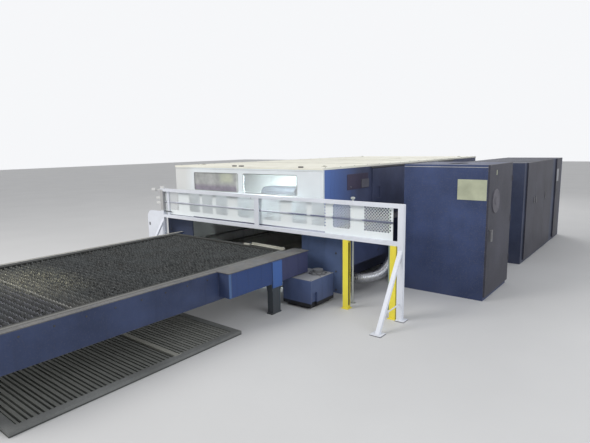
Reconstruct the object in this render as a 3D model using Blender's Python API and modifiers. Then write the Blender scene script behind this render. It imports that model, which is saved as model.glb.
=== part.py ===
"""Flat-bed fiber laser cutting machine with a two-level shuttle table, guard fence and cabinets.

The layout is written in shop places: X = 0 on the machine's centre line, Y = 0 on the front of
the machine bed, Y growing into the machine, Z = 0 on the floor. Every object hangs under one
empty that moves those places so that the part's origin is the middle of its floor rectangle.
"""
import bpy
import bmesh
from math import cos, pi, radians, sin
from mathutils import Matrix, Vector

# Clearances and cutting overruns
CLEAR = 0.0003
OVERRUN = 0.02
BITE = 0.006

# Pallets, their wheels and the rails they run on
PALLET_LENGTH = 4.20
PALLET_HALF = 1.28
PALLET_FRONT_GAP = 0.38
FRAME_WIDTH = 0.08
FRAME_HEIGHT = 0.10
TABLE_TOP = 0.77
SLAT_PITCH = 0.07
SLAT_THICK = 0.006
SLAT_DEPTH = 0.085
SLAT_PROUD = 0.0005
WHEEL_RADIUS = 0.03
WHEEL_WIDTH = 0.05
WHEEL_INSET = 0.38
CHEEK_THICK = 0.012
CHEEK_LENGTH = 0.05
RAIL_THICK = 0.012
LEVEL_GAP = 0.0127

# Shuttle table beams, top strips, legs and ties
TABLE_SIDE_GAP = 0.015
BEAM_WIDTH = 0.08
BEAM_BOTTOM = 0.40
STRIP_THICK = 0.008
BEAM_FRONT_GAP = 0.215
BEAM_TAIL = 0.10
WIDE_REACH = 0.275
WIDE_LENGTH = 1.625
WIDE_BOTTOM = 0.445
STIFFENER_WIDTH = 0.20
STIFFENER_THICK = 0.012
STIFFENER_DROP = 0.06
LEG_BACK = 0.935
LEG_FRONT_INSET = 0.12
LEG_TOP_HALF = 0.115
LEG_FOOT_HALF = 0.08
LEG_HAUNCH = 0.13
LEG_NEAR_WIDTH = 0.10
LEG_PAD_HALF = 0.10
LEG_PAD_THICK = 0.018
TIE_WIDTH = 0.07
TIE_BOTTOM = 0.20
TIE_HEIGHT = 0.12

# Floor grate
GRATE_REACH = 0.41
GRATE_BACK = 1.78
GRATE_PITCH = 0.098
GRATE_BAR = 0.034
GRATE_HEIGHT = 0.045
GRATE_FRAME = 0.09
GRATE_SHEET = 0.008
GRATE_CROSS_BACK = 2.70
GRATE_CROSS = 0.06

# Shuttle drive
DRIVE_WIDTH = 0.51
DRIVE_LENGTH = 0.572
DRIVE_BOTTOM = 0.04
DRIVE_TOP = 0.428
DRIVE_PLINTH_INSET = 0.05
DRIVE_SLOT_WIDTH = 0.13
DRIVE_SLOT_INSET = 0.02
DRIVE_SLOT_HEIGHT = 0.20
DRIVE_SLOT_DEPTH = 0.04
MOTOR_FLANGE = 0.21
MOTOR_FLANGE_THICK = 0.022
MOTOR_RADIUS = 0.078
MOTOR_HEIGHT = 0.06
MOTOR_X_INSET = 0.165
MOTOR_Y_INSET = 0.17

# Machine bed
PORTAL_BOTTOM = 0.40
PORTAL_TOP = 0.98
BED_REACH = 0.735
BED_TOP = 1.05
BED_TAIL = 2.58
BED_WEB = 0.255
BED_BOTTOM = 0.08
WING_BOTTOM = 0.49
PLATE_THICK = 0.02
PLATE_BOTTOM = 0.12
FOOT_RADIUS = 0.07
FOOT_COUNT = 4
FOOT_END = 0.35
RAIL_SPARE = 0.20
CROSS_LENGTH = 0.30
CROSS_BOTTOM = 0.30
TRAY_TOP = 0.36
TRAY_WALL = 0.012
TRAY_FLOOR = 0.05
TRAY_SLOPE = 0.16
TRAY_END_GAP = 0.05

# Gantry
GUIDE_INSET = 0.205
GUIDE_BASE = 0.055
GUIDE_NECK = 0.03
GUIDE_HEAD = 0.045
GUIDE_HEIGHT = 0.035
GUIDE_END = 0.05
BRIDGE_Y = 0.55
BRIDGE_DEPTH = 0.30
BRIDGE_BOTTOM = 1.15
BRIDGE_TOP = 1.45
BRIDGE_CHAMFER = 0.05
TRUCK_HALF = 0.09
TRUCK_LENGTH = 0.52
WAY_HEIGHT = 0.03
WAY_DEPTH = 0.018
CARRIAGE_X = 0.595
CARRIAGE_WIDTH = 0.70
CARRIAGE_FRONT = 0.15
CARRIAGE_BACK = 0.28
CARRIAGE_BOTTOM = 1.12
CARRIAGE_TOP = 1.63
CARRIAGE_ROUND = 0.10
HEAD_WIDTH = 0.18
HEAD_DEPTH = 0.14
HEAD_BOTTOM = 1.02
HEAD_TOP = 1.50
HEAD_CHAMFER = 0.03
NOZZLE_TIP = 0.90
NOZZLE_RADIUS = 0.04
NOZZLE_MOUTH = 0.007
NOZZLE_COLLAR = 0.025

# Cover over the cutting room
COVER_STEP = 0.32
COVER_TOP = 1.98
COVER_SHEET = 0.03
ROOF_THICK = 0.03
ROOF_EAVES = 0.006
WINDOW_BOTTOM = 1.545
WINDOW_TOP = 1.862
WINDOW_LEFT_A = -1.180
WINDOW_LEFT_B = -0.055
WINDOW_RIGHT_A = 0.065
WINDOW_RIGHT_B = 1.217
WINDOW_CORNER = 0.025
PANE_THICK = 0.010
DOOR_Y = 1.50
DOOR_LENGTH = 1.80
DOOR_BOTTOM = 1.12
DOOR_TOP = 1.86
DOOR_LAP = 0.05
DOOR_THICK = 0.025
DOOR_PULL_WIDTH = 0.12
DOOR_PULL_HEIGHT = 0.20
DOOR_PULL_DEPTH = 0.012
DOOR_PULL_INSET = 0.10
LAMP_LENGTH = 1.20
LAMP_X = 0.80
LAMP_Y = 0.14
LAMP_WIDTH = 0.10
LAMP_HEIGHT = 0.06
LAMP_LIP = 0.015

# Guard fence and light-barrier columns
FENCE_Y = -0.195
FENCE_TUBE = 0.06
FENCE_TOP = 1.55
FENCE_RAIL = 0.055
FENCE_RAIL_BOTTOM = 1.00
FENCE_LEFT_INSET = 0.095
FENCE_RIGHT_REACH = 1.075
FENCE_POST = 0.08
UPRIGHT_SHARE = 0.4845
UPRIGHT_WIDTH = 0.095
UPRIGHT_THICK = 0.014
BRACE_REACH = 0.58
BRACE_TOP = 0.93
BRACE_TUBE = 0.055
FOOT_PLATE_HALF = 0.075
FOOT_PLATE_LIP = 0.045
FOOT_PLATE_THICK = 0.012
PANEL_GAP = 0.16
PANEL_THICK = 0.004
PANEL_TOP_LAP = 0.03
TIE_BAR_INSET = 0.33
TIE_BAR_WIDTH = 0.08
TIE_BAR_THICK = 0.022
FIELD_BOTTOM = 1.142
FIELD_TOP = 1.477
FIELD_SHARES = ((0.0240, 0.0704), (0.1538, 0.0573), (0.2234, 0.0542), (0.2950, 0.0575),
                (0.3990, 0.0706), (0.5071, 0.0786), (0.6288, 0.0583), (0.7044, 0.0490),
                (0.7790, 0.0563), (0.8778, 0.0788))
HOLE_PITCH = 0.058
HOLE_HALF = 0.020
COLUMN_INNER = 0.87
COLUMN_OUTER = 0.14
COLUMN_WIDTH = 0.087
COLUMN_DEPTH = 0.066
COLUMN_SLOT = 0.044
COLUMN_SLOT_DEPTH = 0.010
COLUMN_FOOT = 0.112
COLUMN_FOOT_THICK = 0.010
END_PLATE_REACH = 0.522
END_PLATE_LAP = 0.035
END_PLATE_BOTTOM = 0.30
END_PLATE_TOP = 1.10
END_PLATE_CORNER = 0.14
END_PLATE_THICK = 0.006
END_PLATE_HOLE = 0.02
END_PLATE_HOLE_TALL = 0.035
END_PLATE_HOLE_X = 0.057
END_PLATE_HOLE_DROP = 0.277

# Fume duct
DUCT_RADIUS = 0.08
DUCT_OUT_Y = 0.50
DUCT_OUT_Z = 0.25
DUCT_RUN_X = 0.19
DUCT_RISE = 0.33
DUCT_IN_Y = 0.385
DUCT_STEPS = 5

# Filter cabinet beside the machine
FILTER_AISLE = 0.399
FILTER_WIDTH = 1.276
FILTER_FRONT = 1.215
FILTER_BACK = 2.43
FILTER_HEIGHT = 2.00
CABINET_WALL = 0.03
CABINET_PLINTH = 0.09
LEAF_THICK = 0.028
PLENUM_HEIGHT = 0.42
PLENUM_DOOR_GAP = 0.06
CARTRIDGE_RADIUS = 0.20
CARTRIDGE_LENGTH = 0.85
HANDLE_INSET = 0.09
HANDLE_Z = 1.05
HANDLE_BOSS = 0.024
HANDLE_STAND = 0.030
HANDLE_LENGTH = 0.16
HANDLE_WIDTH = 0.030
HANDLE_THICK = 0.014

# Laser cabinet row behind it
LASER_AISLE = 0.30
LASER_WIDTH = 1.275
LASER_BEHIND = 1.43
LASER_LENGTH = 3.84
LASER_HEIGHT = 1.93
LASER_WALL = 0.05
LASER_DIVIDE = 1.72
DOOR_A_PLACE = 0.16
DOOR_A_WIDTH = 0.70
DOOR_B_WIDTH = 0.88
DOOR_C_WIDTH = 0.79
DOOR_D_PLACE = 3.02
DOOR_D_WIDTH = 0.53
LASER_POST = 0.03
LASER_LEAF_GAP = 0.003
SOURCE_GAP = 0.10
SOURCE_HEIGHT = 1.30
SOURCE_FIN = 0.03
SOURCE_FIN_PITCH = 0.12
SOURCE_FIN_DEPTH = 0.05
TROUGH_START = 0.45
TROUGH_WIDTH = 0.22
TROUGH_BOTTOM = 0.60
TROUGH_HEIGHT = 0.25
CHILLER_HEIGHT = 1.10
CHILLER_FAN = 0.30
CHILLER_FAN_DEPTH = 0.06

# Places worked out from the sizes above
PALLET_BACK_Y = -PALLET_FRONT_GAP
PALLET_START_Y = PALLET_BACK_Y - PALLET_LENGTH
WHEEL_AXIS_DROP = FRAME_HEIGHT + CLEAR + WHEEL_RADIUS
RAIL_DROP = WHEEL_AXIS_DROP + WHEEL_RADIUS + CLEAR
LOWER_TOP = TABLE_TOP - RAIL_DROP - RAIL_THICK - LEVEL_GAP
BEAM_IN = PALLET_HALF + TABLE_SIDE_GAP
PORTAL_HALF = BEAM_IN
BEAM_OUT = BEAM_IN + BEAM_WIDTH
BEAM_TOP = TABLE_TOP - STRIP_THICK - CLEAR
BEAM_BACK_Y = -BEAM_FRONT_GAP
BEAM_START_Y = PALLET_START_Y - BEAM_TAIL
WIDE_OUT = BEAM_IN + WIDE_REACH
WIDE_START_Y = BEAM_BACK_Y - WIDE_LENGTH
BED_IN = PORTAL_HALF
BED_HALF = PORTAL_HALF + BED_REACH
BED_START_Y = PLATE_THICK + CLEAR
RAIL_LENGTH_IN = PALLET_LENGTH + RAIL_SPARE
BED_LENGTH = RAIL_LENGTH_IN + BED_TAIL
GUIDE_X = PORTAL_HALF + GUIDE_INSET
COVER_HALF = BED_HALF - COVER_STEP
GRATE_HALF = PALLET_HALF + GRATE_REACH
FENCE_LEFT = -BED_HALF + FENCE_LEFT_INSET
FENCE_RIGHT = BED_HALF + FENCE_RIGHT_REACH
FENCE_LENGTH = FENCE_RIGHT - FENCE_LEFT
UPRIGHT_LEFT = FENCE_LEFT + FENCE_LENGTH * UPRIGHT_SHARE
PANEL_RIGHT = FENCE_RIGHT - PANEL_GAP
TIE_BAR_X = BED_HALF - TIE_BAR_INSET
COLUMN_XS = (FENCE_RIGHT - COLUMN_INNER, FENCE_RIGHT - COLUMN_OUTER)
END_PLATE_LEFT = FENCE_LEFT - END_PLATE_REACH
END_PLATE_RIGHT = FENCE_LEFT + END_PLATE_LAP
FILTER_LEFT = BED_HALF + FILTER_AISLE
FILTER_RIGHT = FILTER_LEFT + FILTER_WIDTH
LASER_LEFT = BED_HALF + LASER_AISLE
LASER_RIGHT = LASER_LEFT + LASER_WIDTH
LASER_FRONT = FILTER_BACK + LASER_BEHIND
LASER_ROOMS = ((LASER_WALL, LASER_DIVIDE), (LASER_DIVIDE + LASER_WALL, LASER_LENGTH - LASER_WALL))
LASER_DOOR_EDGES = (
    ("laser_door_a", DOOR_A_PLACE, DOOR_A_WIDTH, -1),
    ("laser_door_b", DOOR_A_PLACE + DOOR_A_WIDTH, DOOR_B_WIDTH, 1),
    ("laser_door_c", DOOR_A_PLACE + DOOR_A_WIDTH + DOOR_B_WIDTH, DOOR_C_WIDTH, 1),
    ("laser_door_d", DOOR_D_PLACE, DOOR_D_WIDTH, 1))
FILTER_DOOR_FACE = FILTER_RIGHT + CLEAR + LEAF_THICK
RIGHT_REACH = FILTER_DOOR_FACE + CLEAR + HANDLE_STAND + HANDLE_THICK
LEFT_REACH = END_PLATE_LEFT
REAR_REACH = LASER_FRONT + LASER_LENGTH
MIDDLE = Vector(((LEFT_REACH + RIGHT_REACH) / 2, (BEAM_START_Y + REAR_REACH) / 2, 0))

NAVY = (0.035, 0.05, 0.16, 1)
NAVY_LIT = (0.05, 0.11, 0.32, 1)
WHITE = (0.80, 0.80, 0.78, 1)
PALE_GREY = (0.36, 0.35, 0.34, 1)
DARK = (0.03, 0.03, 0.032, 1)
STEEL = (0.20, 0.20, 0.21, 1)
BRIGHT = (0.65, 0.66, 0.68, 1)
YELLOW = (0.85, 0.60, 0.03, 1)
BRASS = (0.60, 0.42, 0.16, 1)
GLASS = (0.55, 0.65, 0.66, 0.35)


def clear_scene():
    """Remove whatever the file starts with."""
    for item in list(bpy.data.objects):
        bpy.data.objects.remove(item, do_unlink=True)


clear_scene()
PARTS = bpy.data.collections.new("laser_cutting_machine")
TOOLS = bpy.data.collections.new("cutters")
for group in (PARTS, TOOLS):
    bpy.context.scene.collection.children.link(group)
ORIGIN = bpy.data.objects.new("machine_origin", None)
ORIGIN.location = -MIDDLE
PARTS.objects.link(ORIGIN)


def finish(name, colour, roughness, metallic=0.0):
    """One Principled material."""
    material = bpy.data.materials.new(name)
    material.use_nodes = True
    shader = material.node_tree.nodes["Principled BSDF"]
    shader.inputs["Base Color"].default_value = colour
    shader.inputs["Roughness"].default_value = roughness
    shader.inputs["Metallic"].default_value = metallic
    shader.inputs["Alpha"].default_value = colour[3]
    material.diffuse_color = colour
    return material


NAVY_PAINT = finish("navy_paint", NAVY, 0.45)
BLUE_PAINT = finish("blue_paint", NAVY_LIT, 0.45)
WHITE_PAINT = finish("white_paint", WHITE, 0.4)
GREY_STEEL = finish("worn_grey_steel", PALE_GREY, 0.6, 0.4)
DARK_STEEL = finish("dark_steel", DARK, 0.7, 0.3)
MACHINED = finish("machined_steel", STEEL, 0.35, 1.0)
BRIGHT_DUCT = finish("bright_duct", BRIGHT, 0.25, 1.0)
YELLOW_PAINT = finish("yellow_paint", YELLOW, 0.4)
BRASS_METAL = finish("brass", BRASS, 0.3, 1.0)
CLEAR_PANE = finish("clear_pane", GLASS, 0.05)


def place(name, mesh, material, spot=(0, 0, 0), turn=(0, 0, 0), tool=False):
    """Link a mesh as an object at a shop place, under the machine's empty."""
    item = bpy.data.objects.new(name, mesh)
    item.location = spot
    item.rotation_euler = turn
    item.parent = ORIGIN
    if material is not None:
        mesh.materials.append(material)
    if tool:
        item.hide_render = True
        item.display_type = "WIRE"
    (TOOLS if tool else PARTS).objects.link(item)
    bpy.context.view_layer.update()
    return item


def boxes(name, corners, material=None, spot=(0, 0, 0), tool=False):
    """Boxes between pairs of corners; several in one mesh serve as one tool."""
    mesh = bpy.data.meshes.new(name)
    shape = bmesh.new()
    for low, high in corners:
        low, high = Vector(low) - Vector(spot), Vector(high) - Vector(spot)
        size = high - low
        scale = Matrix.Diagonal((size.x, size.y, size.z, 1))
        bmesh.ops.create_cube(shape, size=1, matrix=Matrix.Translation((low + high) / 2) @ scale)
    shape.to_mesh(mesh)
    shape.free()
    return place(name, mesh, material, spot, tool=tool)


def box(name, low, high, material=None, spot=(0, 0, 0), tool=False):
    """One box between two corners."""
    return boxes(name, ((low, high),), material, spot, tool)


def rods(name, spots, radius, length, material=None, sides=16, tool=False, axis="Z"):
    """Upright or lying cylinders whose middles are at the given spots."""
    mesh = bpy.data.meshes.new(name)
    shape = bmesh.new()
    lie = {"Z": Matrix.Identity(4), "X": Matrix.Rotation(pi / 2, 4, "Y"),
           "Y": Matrix.Rotation(pi / 2, 4, "X")}[axis]
    for spot in spots:
        bmesh.ops.create_cone(shape, cap_ends=True, segments=sides, radius1=radius,
                              radius2=radius, depth=length,
                              matrix=Matrix.Translation(spot) @ lie)
    shape.to_mesh(mesh)
    shape.free()
    return place(name, mesh, material, tool=tool)


TURNS = {"Y": (pi / 2, 0, 0), "X": (pi / 2, 0, pi / 2), "Z": (0, 0, 0)}


def profile(name, rings, axis, start, end, material=None, tool=False, closed_holes=True):
    """A flat outline, with any inner rings as holes, carried from start to end along an axis.

    Along Y the outline is given as (x, z), along X as (y, z) and along Z as (x, y).
    """
    curve = bpy.data.curves.new(name, "CURVE")
    curve.dimensions = "2D"
    curve.fill_mode = "BOTH"
    curve.extrude = (end - start) / 2
    for ring in rings:
        spline = curve.splines.new("POLY")
        spline.points.add(len(ring) - 1)
        for point, (u, v) in zip(spline.points, ring):
            point.co = (u, v, 0, 1)
        spline.use_cyclic_u = closed_holes
    middle = (start + end) / 2
    spot = {"X": (middle, 0, 0), "Y": (0, middle, 0), "Z": (0, 0, middle)}[axis]
    flat = place(name + "_outline", curve, None, spot, TURNS[axis], tool)
    solid = to_mesh(flat, name, material, tool)
    return solid


def to_mesh(item, name, material, tool=False):
    """The mesh a curve draws, with its caps welded, in the curve's own place."""
    graph = bpy.context.evaluated_depsgraph_get()
    mesh = bpy.data.meshes.new_from_object(item.evaluated_get(graph))
    shape = bmesh.new()
    shape.from_mesh(mesh)
    bmesh.ops.remove_doubles(shape, verts=shape.verts, dist=CLEAR / 10)
    bmesh.ops.recalc_face_normals(shape, faces=shape.faces)
    shape.to_mesh(mesh)
    shape.free()
    mesh.name = name
    mesh.materials.clear()
    solid = place(name, mesh, material, item.location, item.rotation_euler, tool)
    bpy.data.objects.remove(item, do_unlink=True)
    return solid


def turned(name, outline, material, spot, turn=(0, 0, 0), steps=24):
    """A profile of (radius, height) points, top to bottom, spun round its own Z axis."""
    mesh = bpy.data.meshes.new(name)
    mesh.from_pydata([(r, 0, h) for r, h in outline],
                     [(i, i + 1) for i in range(len(outline) - 1)], [])
    item = place(name, mesh, material, spot, turn)
    spin = item.modifiers.new("spin", "SCREW")
    spin.steps = steps
    spin.render_steps = steps
    spin.use_merge_vertices = True
    spin.merge_threshold = 0.0001
    return item


def change(item, tool, operation):
    """Cut or join one solid with another."""
    step = item.modifiers.new(operation.lower(), "BOOLEAN")
    step.operation = operation
    step.solver = "EXACT"
    step.object = tool
    return item


def cut(item, tool):
    return change(item, tool, "DIFFERENCE")


def weld(item, tool):
    return change(item, tool, "UNION")


def rectangle(low_u, high_u, low_v, high_v):
    return [(low_u, low_v), (high_u, low_v), (high_u, high_v), (low_u, high_v)]


def rounded(low_u, high_u, low_v, high_v, corner, steps=4):
    """A rectangle whose corners are arcs."""
    points = []
    centres = ((high_u - corner, high_v - corner, 0), (low_u + corner, high_v - corner, 1),
               (low_u + corner, low_v + corner, 2), (high_u - corner, low_v + corner, 3))
    for u, v, quarter in centres:
        for step in range(steps + 1):
            angle = (quarter + step / steps) * pi / 2
            points.append((u + corner * cos(angle), v + corner * sin(angle)))
    return points


def mirrored(ring, side):
    """The outline on the right side (+1) or its mirror on the left (-1)."""
    return [(u * side, v) for u, v in ring]


# Shuttle table

def near_beam():
    """The blue beam on the operator's side, with its deeper and wider end by the machine."""
    beam = box("near_beam", (BEAM_IN, BEAM_START_Y, BEAM_BOTTOM),
               (BEAM_OUT, BEAM_BACK_Y, BEAM_TOP), BLUE_PAINT)
    low = (BEAM_IN + BITE, WIDE_START_Y, WIDE_BOTTOM)
    weld(beam, box("wide_end", low, (WIDE_OUT, BEAM_BACK_Y - BITE, BEAM_TOP - BITE / 2), tool=True))
    middle = -LEG_BACK
    weld(beam, box("stiffener",
                   (WIDE_OUT - BITE, middle - STIFFENER_WIDTH / 2, WIDE_BOTTOM - STIFFENER_DROP),
                   (WIDE_OUT + STIFFENER_THICK, middle + STIFFENER_WIDTH / 2,
                    BEAM_TOP - STIFFENER_THICK), tool=True))
    return beam


def far_beam():
    box("far_beam", (-BEAM_OUT, BEAM_START_Y, BEAM_BOTTOM),
        (-BEAM_IN, BEAM_BACK_Y, TABLE_TOP), BLUE_PAINT)


def near_top_strip():
    """The grey wear plate on the near beam, wide over the wide end."""
    lip = STIFFENER_THICK
    ring = [(BEAM_IN, BEAM_START_Y), (BEAM_OUT, BEAM_START_Y), (BEAM_OUT, WIDE_START_Y - lip),
            (WIDE_OUT + lip, WIDE_START_Y - lip), (WIDE_OUT + lip, BEAM_BACK_Y + lip),
            (BEAM_IN, BEAM_BACK_Y + lip)]
    profile("near_top_strip", [ring], "Z", TABLE_TOP - STRIP_THICK, TABLE_TOP, GREY_STEEL)


def leg(name, low_x, high_x, middle_y, top, tool=False):
    """A leg that flares to its top, with a floor pad."""
    neck = top - LEG_HAUNCH
    ring = [(middle_y - LEG_PAD_HALF, 0), (middle_y + LEG_PAD_HALF, 0),
            (middle_y + LEG_PAD_HALF, LEG_PAD_THICK), (middle_y + LEG_FOOT_HALF, LEG_PAD_THICK),
            (middle_y + LEG_FOOT_HALF, neck), (middle_y + LEG_TOP_HALF, top),
            (middle_y - LEG_TOP_HALF, top), (middle_y - LEG_FOOT_HALF, neck),
            (middle_y - LEG_FOOT_HALF, LEG_PAD_THICK), (middle_y - LEG_PAD_HALF, LEG_PAD_THICK)]
    return profile(name, [ring], "X", low_x, high_x, DARK_STEEL, tool)


def legs():
    front_y = BEAM_START_Y + LEG_FRONT_INSET
    stand = leg("front_stand", BEAM_IN, BEAM_OUT, front_y, BEAM_BOTTOM - CLEAR)
    weld(stand, leg("stand_far_leg", -BEAM_OUT, -BEAM_IN, front_y, BEAM_BOTTOM - CLEAR, True))
    weld(stand, box("stand_tie", (-BEAM_IN - BITE, front_y - TIE_WIDTH / 2, TIE_BOTTOM),
                    (BEAM_IN + BITE, front_y + TIE_WIDTH / 2, TIE_BOTTOM + TIE_HEIGHT),
                    tool=True))
    high = WIDE_OUT - STIFFENER_THICK
    leg("leg_near_rear", high - LEG_NEAR_WIDTH, high, -LEG_BACK, WIDE_BOTTOM - CLEAR)
    leg("leg_far_rear", -BEAM_OUT, -BEAM_IN, -LEG_BACK, BEAM_BOTTOM - CLEAR)


def rails():
    """Four flat rails, two levels on both sides, from the table right through the portal."""
    for level, top in (("upper", TABLE_TOP), ("lower", LOWER_TOP)):
        high = top - RAIL_DROP
        for side, name in ((1, "near"), (-1, "far")):
            low_x, high_x = sorted((side * (PALLET_HALF - FRAME_WIDTH + CHEEK_THICK + CLEAR),
                                    side * (BEAM_IN - CLEAR)))
            box(f"{level}_rail_{name}", (low_x, BEAM_START_Y, high - RAIL_THICK),
                (high_x, RAIL_LENGTH_IN, high), MACHINED)


def pallet(name, top):
    """A welded frame with upright slats across it and cheeks that carry the wheels."""
    bottom = top - FRAME_HEIGHT
    inner = PALLET_HALF - FRAME_WIDTH
    frame = box(name, (-PALLET_HALF, PALLET_START_Y, bottom),
                (PALLET_HALF, PALLET_BACK_Y, top - SLAT_PROUD), DARK_STEEL)
    cut(frame, box(name + "_inside", (-inner, PALLET_START_Y + FRAME_WIDTH, bottom - OVERRUN),
                   (inner, PALLET_BACK_Y - FRAME_WIDTH, top + OVERRUN), tool=True))
    room = PALLET_LENGTH - 2 * FRAME_WIDTH
    count = int(room / SLAT_PITCH)
    first = (PALLET_START_Y + PALLET_BACK_Y - (count - 1) * SLAT_PITCH) / 2
    slats = []
    for index in range(count):
        middle = first + index * SLAT_PITCH
        slats.append(((-inner - BITE, middle - SLAT_THICK / 2, top - SLAT_DEPTH),
                      (inner + BITE, middle + SLAT_THICK / 2, top)))
    weld(frame, boxes(name + "_slats", slats, tool=True))
    cheeks = []
    for side, _, y in wheel_places():
        low_x, high_x = sorted((side * inner, side * (inner + CHEEK_THICK)))
        cheeks.append(((low_x, y - CHEEK_LENGTH / 2, top - WHEEL_AXIS_DROP - CHEEK_THICK),
                       (high_x, y + CHEEK_LENGTH / 2, bottom + BITE)))
    weld(frame, boxes(name + "_cheeks", cheeks, tool=True))
    return frame


def wheel_places():
    """Side, name ending and Y of each of a pallet's four wheels."""
    ends = (("front", PALLET_START_Y + WHEEL_INSET), ("rear", PALLET_BACK_Y - WHEEL_INSET))
    return [(side, f"{name}_{where}", y) for side, where in ((1, "near"), (-1, "far"))
            for name, y in ends]


def wheels(level, top):
    half = WHEEL_WIDTH / 2
    outline = [(0, half), (WHEEL_RADIUS / 3, half), (WHEEL_RADIUS / 2, half / 2),
               (WHEEL_RADIUS * 3 / 4, half / 2), (WHEEL_RADIUS, half), (WHEEL_RADIUS, -half),
               (0, -half)]
    for side, ending, y in wheel_places():
        x = side * (PALLET_HALF - FRAME_WIDTH + CHEEK_THICK + CLEAR + half)
        turned(f"{level}_wheel_{ending}", outline, MACHINED, (x, y, top - WHEEL_AXIS_DROP),
               (0, side * pi / 2, 0), steps=14)


def floor_grate():
    """A low slatted scrap grate over a shallow tray, on the floor under the table."""
    high_y = -GRATE_BACK
    low_y = BEAM_START_Y + LEG_FRONT_INSET + LEG_PAD_HALF + CLEAR
    grate = box("floor_grate", (-GRATE_HALF, low_y, 0), (GRATE_HALF, high_y, GRATE_HEIGHT),
                DARK_STEEL)
    inner = GRATE_HALF - GRATE_FRAME
    cut(grate, box("grate_inside", (-inner, low_y + GRATE_FRAME, GRATE_SHEET),
                   (inner, high_y - GRATE_FRAME, GRATE_HEIGHT + OVERRUN), tool=True))
    count = int((high_y - low_y - 2 * GRATE_FRAME) / GRATE_PITCH)
    first = (low_y + high_y - (count - 1) * GRATE_PITCH) / 2
    bars = []
    low_z, high_z = GRATE_HEIGHT / 3, GRATE_HEIGHT - GRATE_SHEET
    for index in range(count):
        middle = first + index * GRATE_PITCH
        if abs(middle + GRATE_CROSS_BACK) > GRATE_PITCH:
            bars.append(((-inner - BITE, middle - GRATE_BAR / 2, low_z),
                         (inner + BITE, middle + GRATE_BAR / 2, high_z)))
    bars.append(((-inner - BITE, -GRATE_CROSS_BACK - GRATE_CROSS / 2, low_z),
                 (inner + BITE, -GRATE_CROSS_BACK + GRATE_CROSS / 2, GRATE_HEIGHT - BITE / 3)))
    weld(grate, boxes("grate_bars", bars, tool=True))


def drive():
    """The shuttle drive's housing on its plinth, and the geared motor on top."""
    low_x = BEAM_OUT + CLEAR
    high_x = low_x + DRIVE_WIDTH
    low_y, high_y = -DRIVE_LENGTH, -CLEAR
    inset = DRIVE_PLINTH_INSET
    housing = box("drive_housing", (low_x, low_y, DRIVE_BOTTOM), (high_x, high_y, DRIVE_TOP),
                  BLUE_PAINT)
    weld(housing, box("drive_plinth", (low_x + inset, low_y + inset, 0),
                      (high_x - inset, high_y - inset, DRIVE_BOTTOM + BITE), tool=True))
    slot_y = low_y + DRIVE_SLOT_INSET
    cut(housing, box("drive_slot", (high_x - DRIVE_SLOT_DEPTH, slot_y, DRIVE_BOTTOM - OVERRUN),
                     (high_x + OVERRUN, slot_y + DRIVE_SLOT_WIDTH,
                      DRIVE_BOTTOM + DRIVE_SLOT_HEIGHT), tool=True))
    x, y = high_x - MOTOR_X_INSET, high_y - MOTOR_Y_INSET
    half = MOTOR_FLANGE / 2
    base = DRIVE_TOP + CLEAR
    motor = profile("drive_motor", [rounded(x - half, x + half, y - half, y + half, half / 4, 2)],
                    "Z", base, base + MOTOR_FLANGE_THICK, MACHINED)
    weld(motor, rods("motor_can", [(x, y, base + MOTOR_HEIGHT / 2 + BITE)], MOTOR_RADIUS,
                     MOTOR_HEIGHT, sides=20, tool=True))


# Machine bed

def front_plate():
    """The blue portal plate that the pallets pass through."""
    outer = rectangle(-BED_HALF, BED_HALF, PLATE_BOTTOM, BED_TOP)
    hole = rectangle(-PORTAL_HALF, PORTAL_HALF, PORTAL_BOTTOM, PORTAL_TOP)
    profile("front_plate", [outer, hole], "Y", 0, PLATE_THICK, BLUE_PAINT)


def bed(side, name):
    """A side beam of the bed: an upright web with a wide wing on its outer side, on feet."""
    web = BED_IN + BED_WEB
    ring = [(BED_IN, BED_BOTTOM), (web, BED_BOTTOM), (web, WING_BOTTOM),
            (BED_HALF, WING_BOTTOM), (BED_HALF, BED_TOP), (BED_IN, BED_TOP)]
    beam = profile(name, [mirrored(ring, side)], "Y", BED_START_Y, BED_LENGTH, NAVY_PAINT)
    step = (BED_LENGTH - 2 * FOOT_END) / (FOOT_COUNT - 1)
    x = side * (BED_IN + BED_WEB / 2)
    tall = BED_BOTTOM + BITE
    spots = [(x, FOOT_END + index * step, tall / 2) for index in range(FOOT_COUNT)]
    weld(beam, rods(name + "_feet", spots, FOOT_RADIUS, tall, sides=12, tool=True))


def bed_cross():
    box("bed_cross", (-BED_IN + CLEAR, RAIL_LENGTH_IN + OVERRUN, CROSS_BOTTOM),
        (BED_IN - CLEAR, RAIL_LENGTH_IN + OVERRUN + CROSS_LENGTH, BED_TOP), NAVY_PAINT)


def scrap_tray():
    """The trough that catches slag and cut-outs below the cutting room."""
    half = BED_IN - CLEAR
    low_y, high_y = BED_START_Y + TRAY_END_GAP, RAIL_LENGTH_IN
    outer = [(-half + TRAY_SLOPE, 0), (half - TRAY_SLOPE, 0), (half, TRAY_TOP), (-half, TRAY_TOP)]
    tray = profile("scrap_tray", [outer], "Y", low_y, high_y, DARK_STEEL)
    wall = TRAY_WALL * 2
    rise = TRAY_TOP + OVERRUN
    lean = TRAY_SLOPE * OVERRUN / TRAY_TOP
    inner = [(-half + TRAY_SLOPE + wall, TRAY_FLOOR), (half - TRAY_SLOPE - wall, TRAY_FLOOR),
             (half - wall + lean, rise), (-half + wall - lean, rise)]
    cut(tray, profile("tray_inside", [inner], "Y", low_y + wall, high_y - wall, tool=True))


# Gantry

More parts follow.
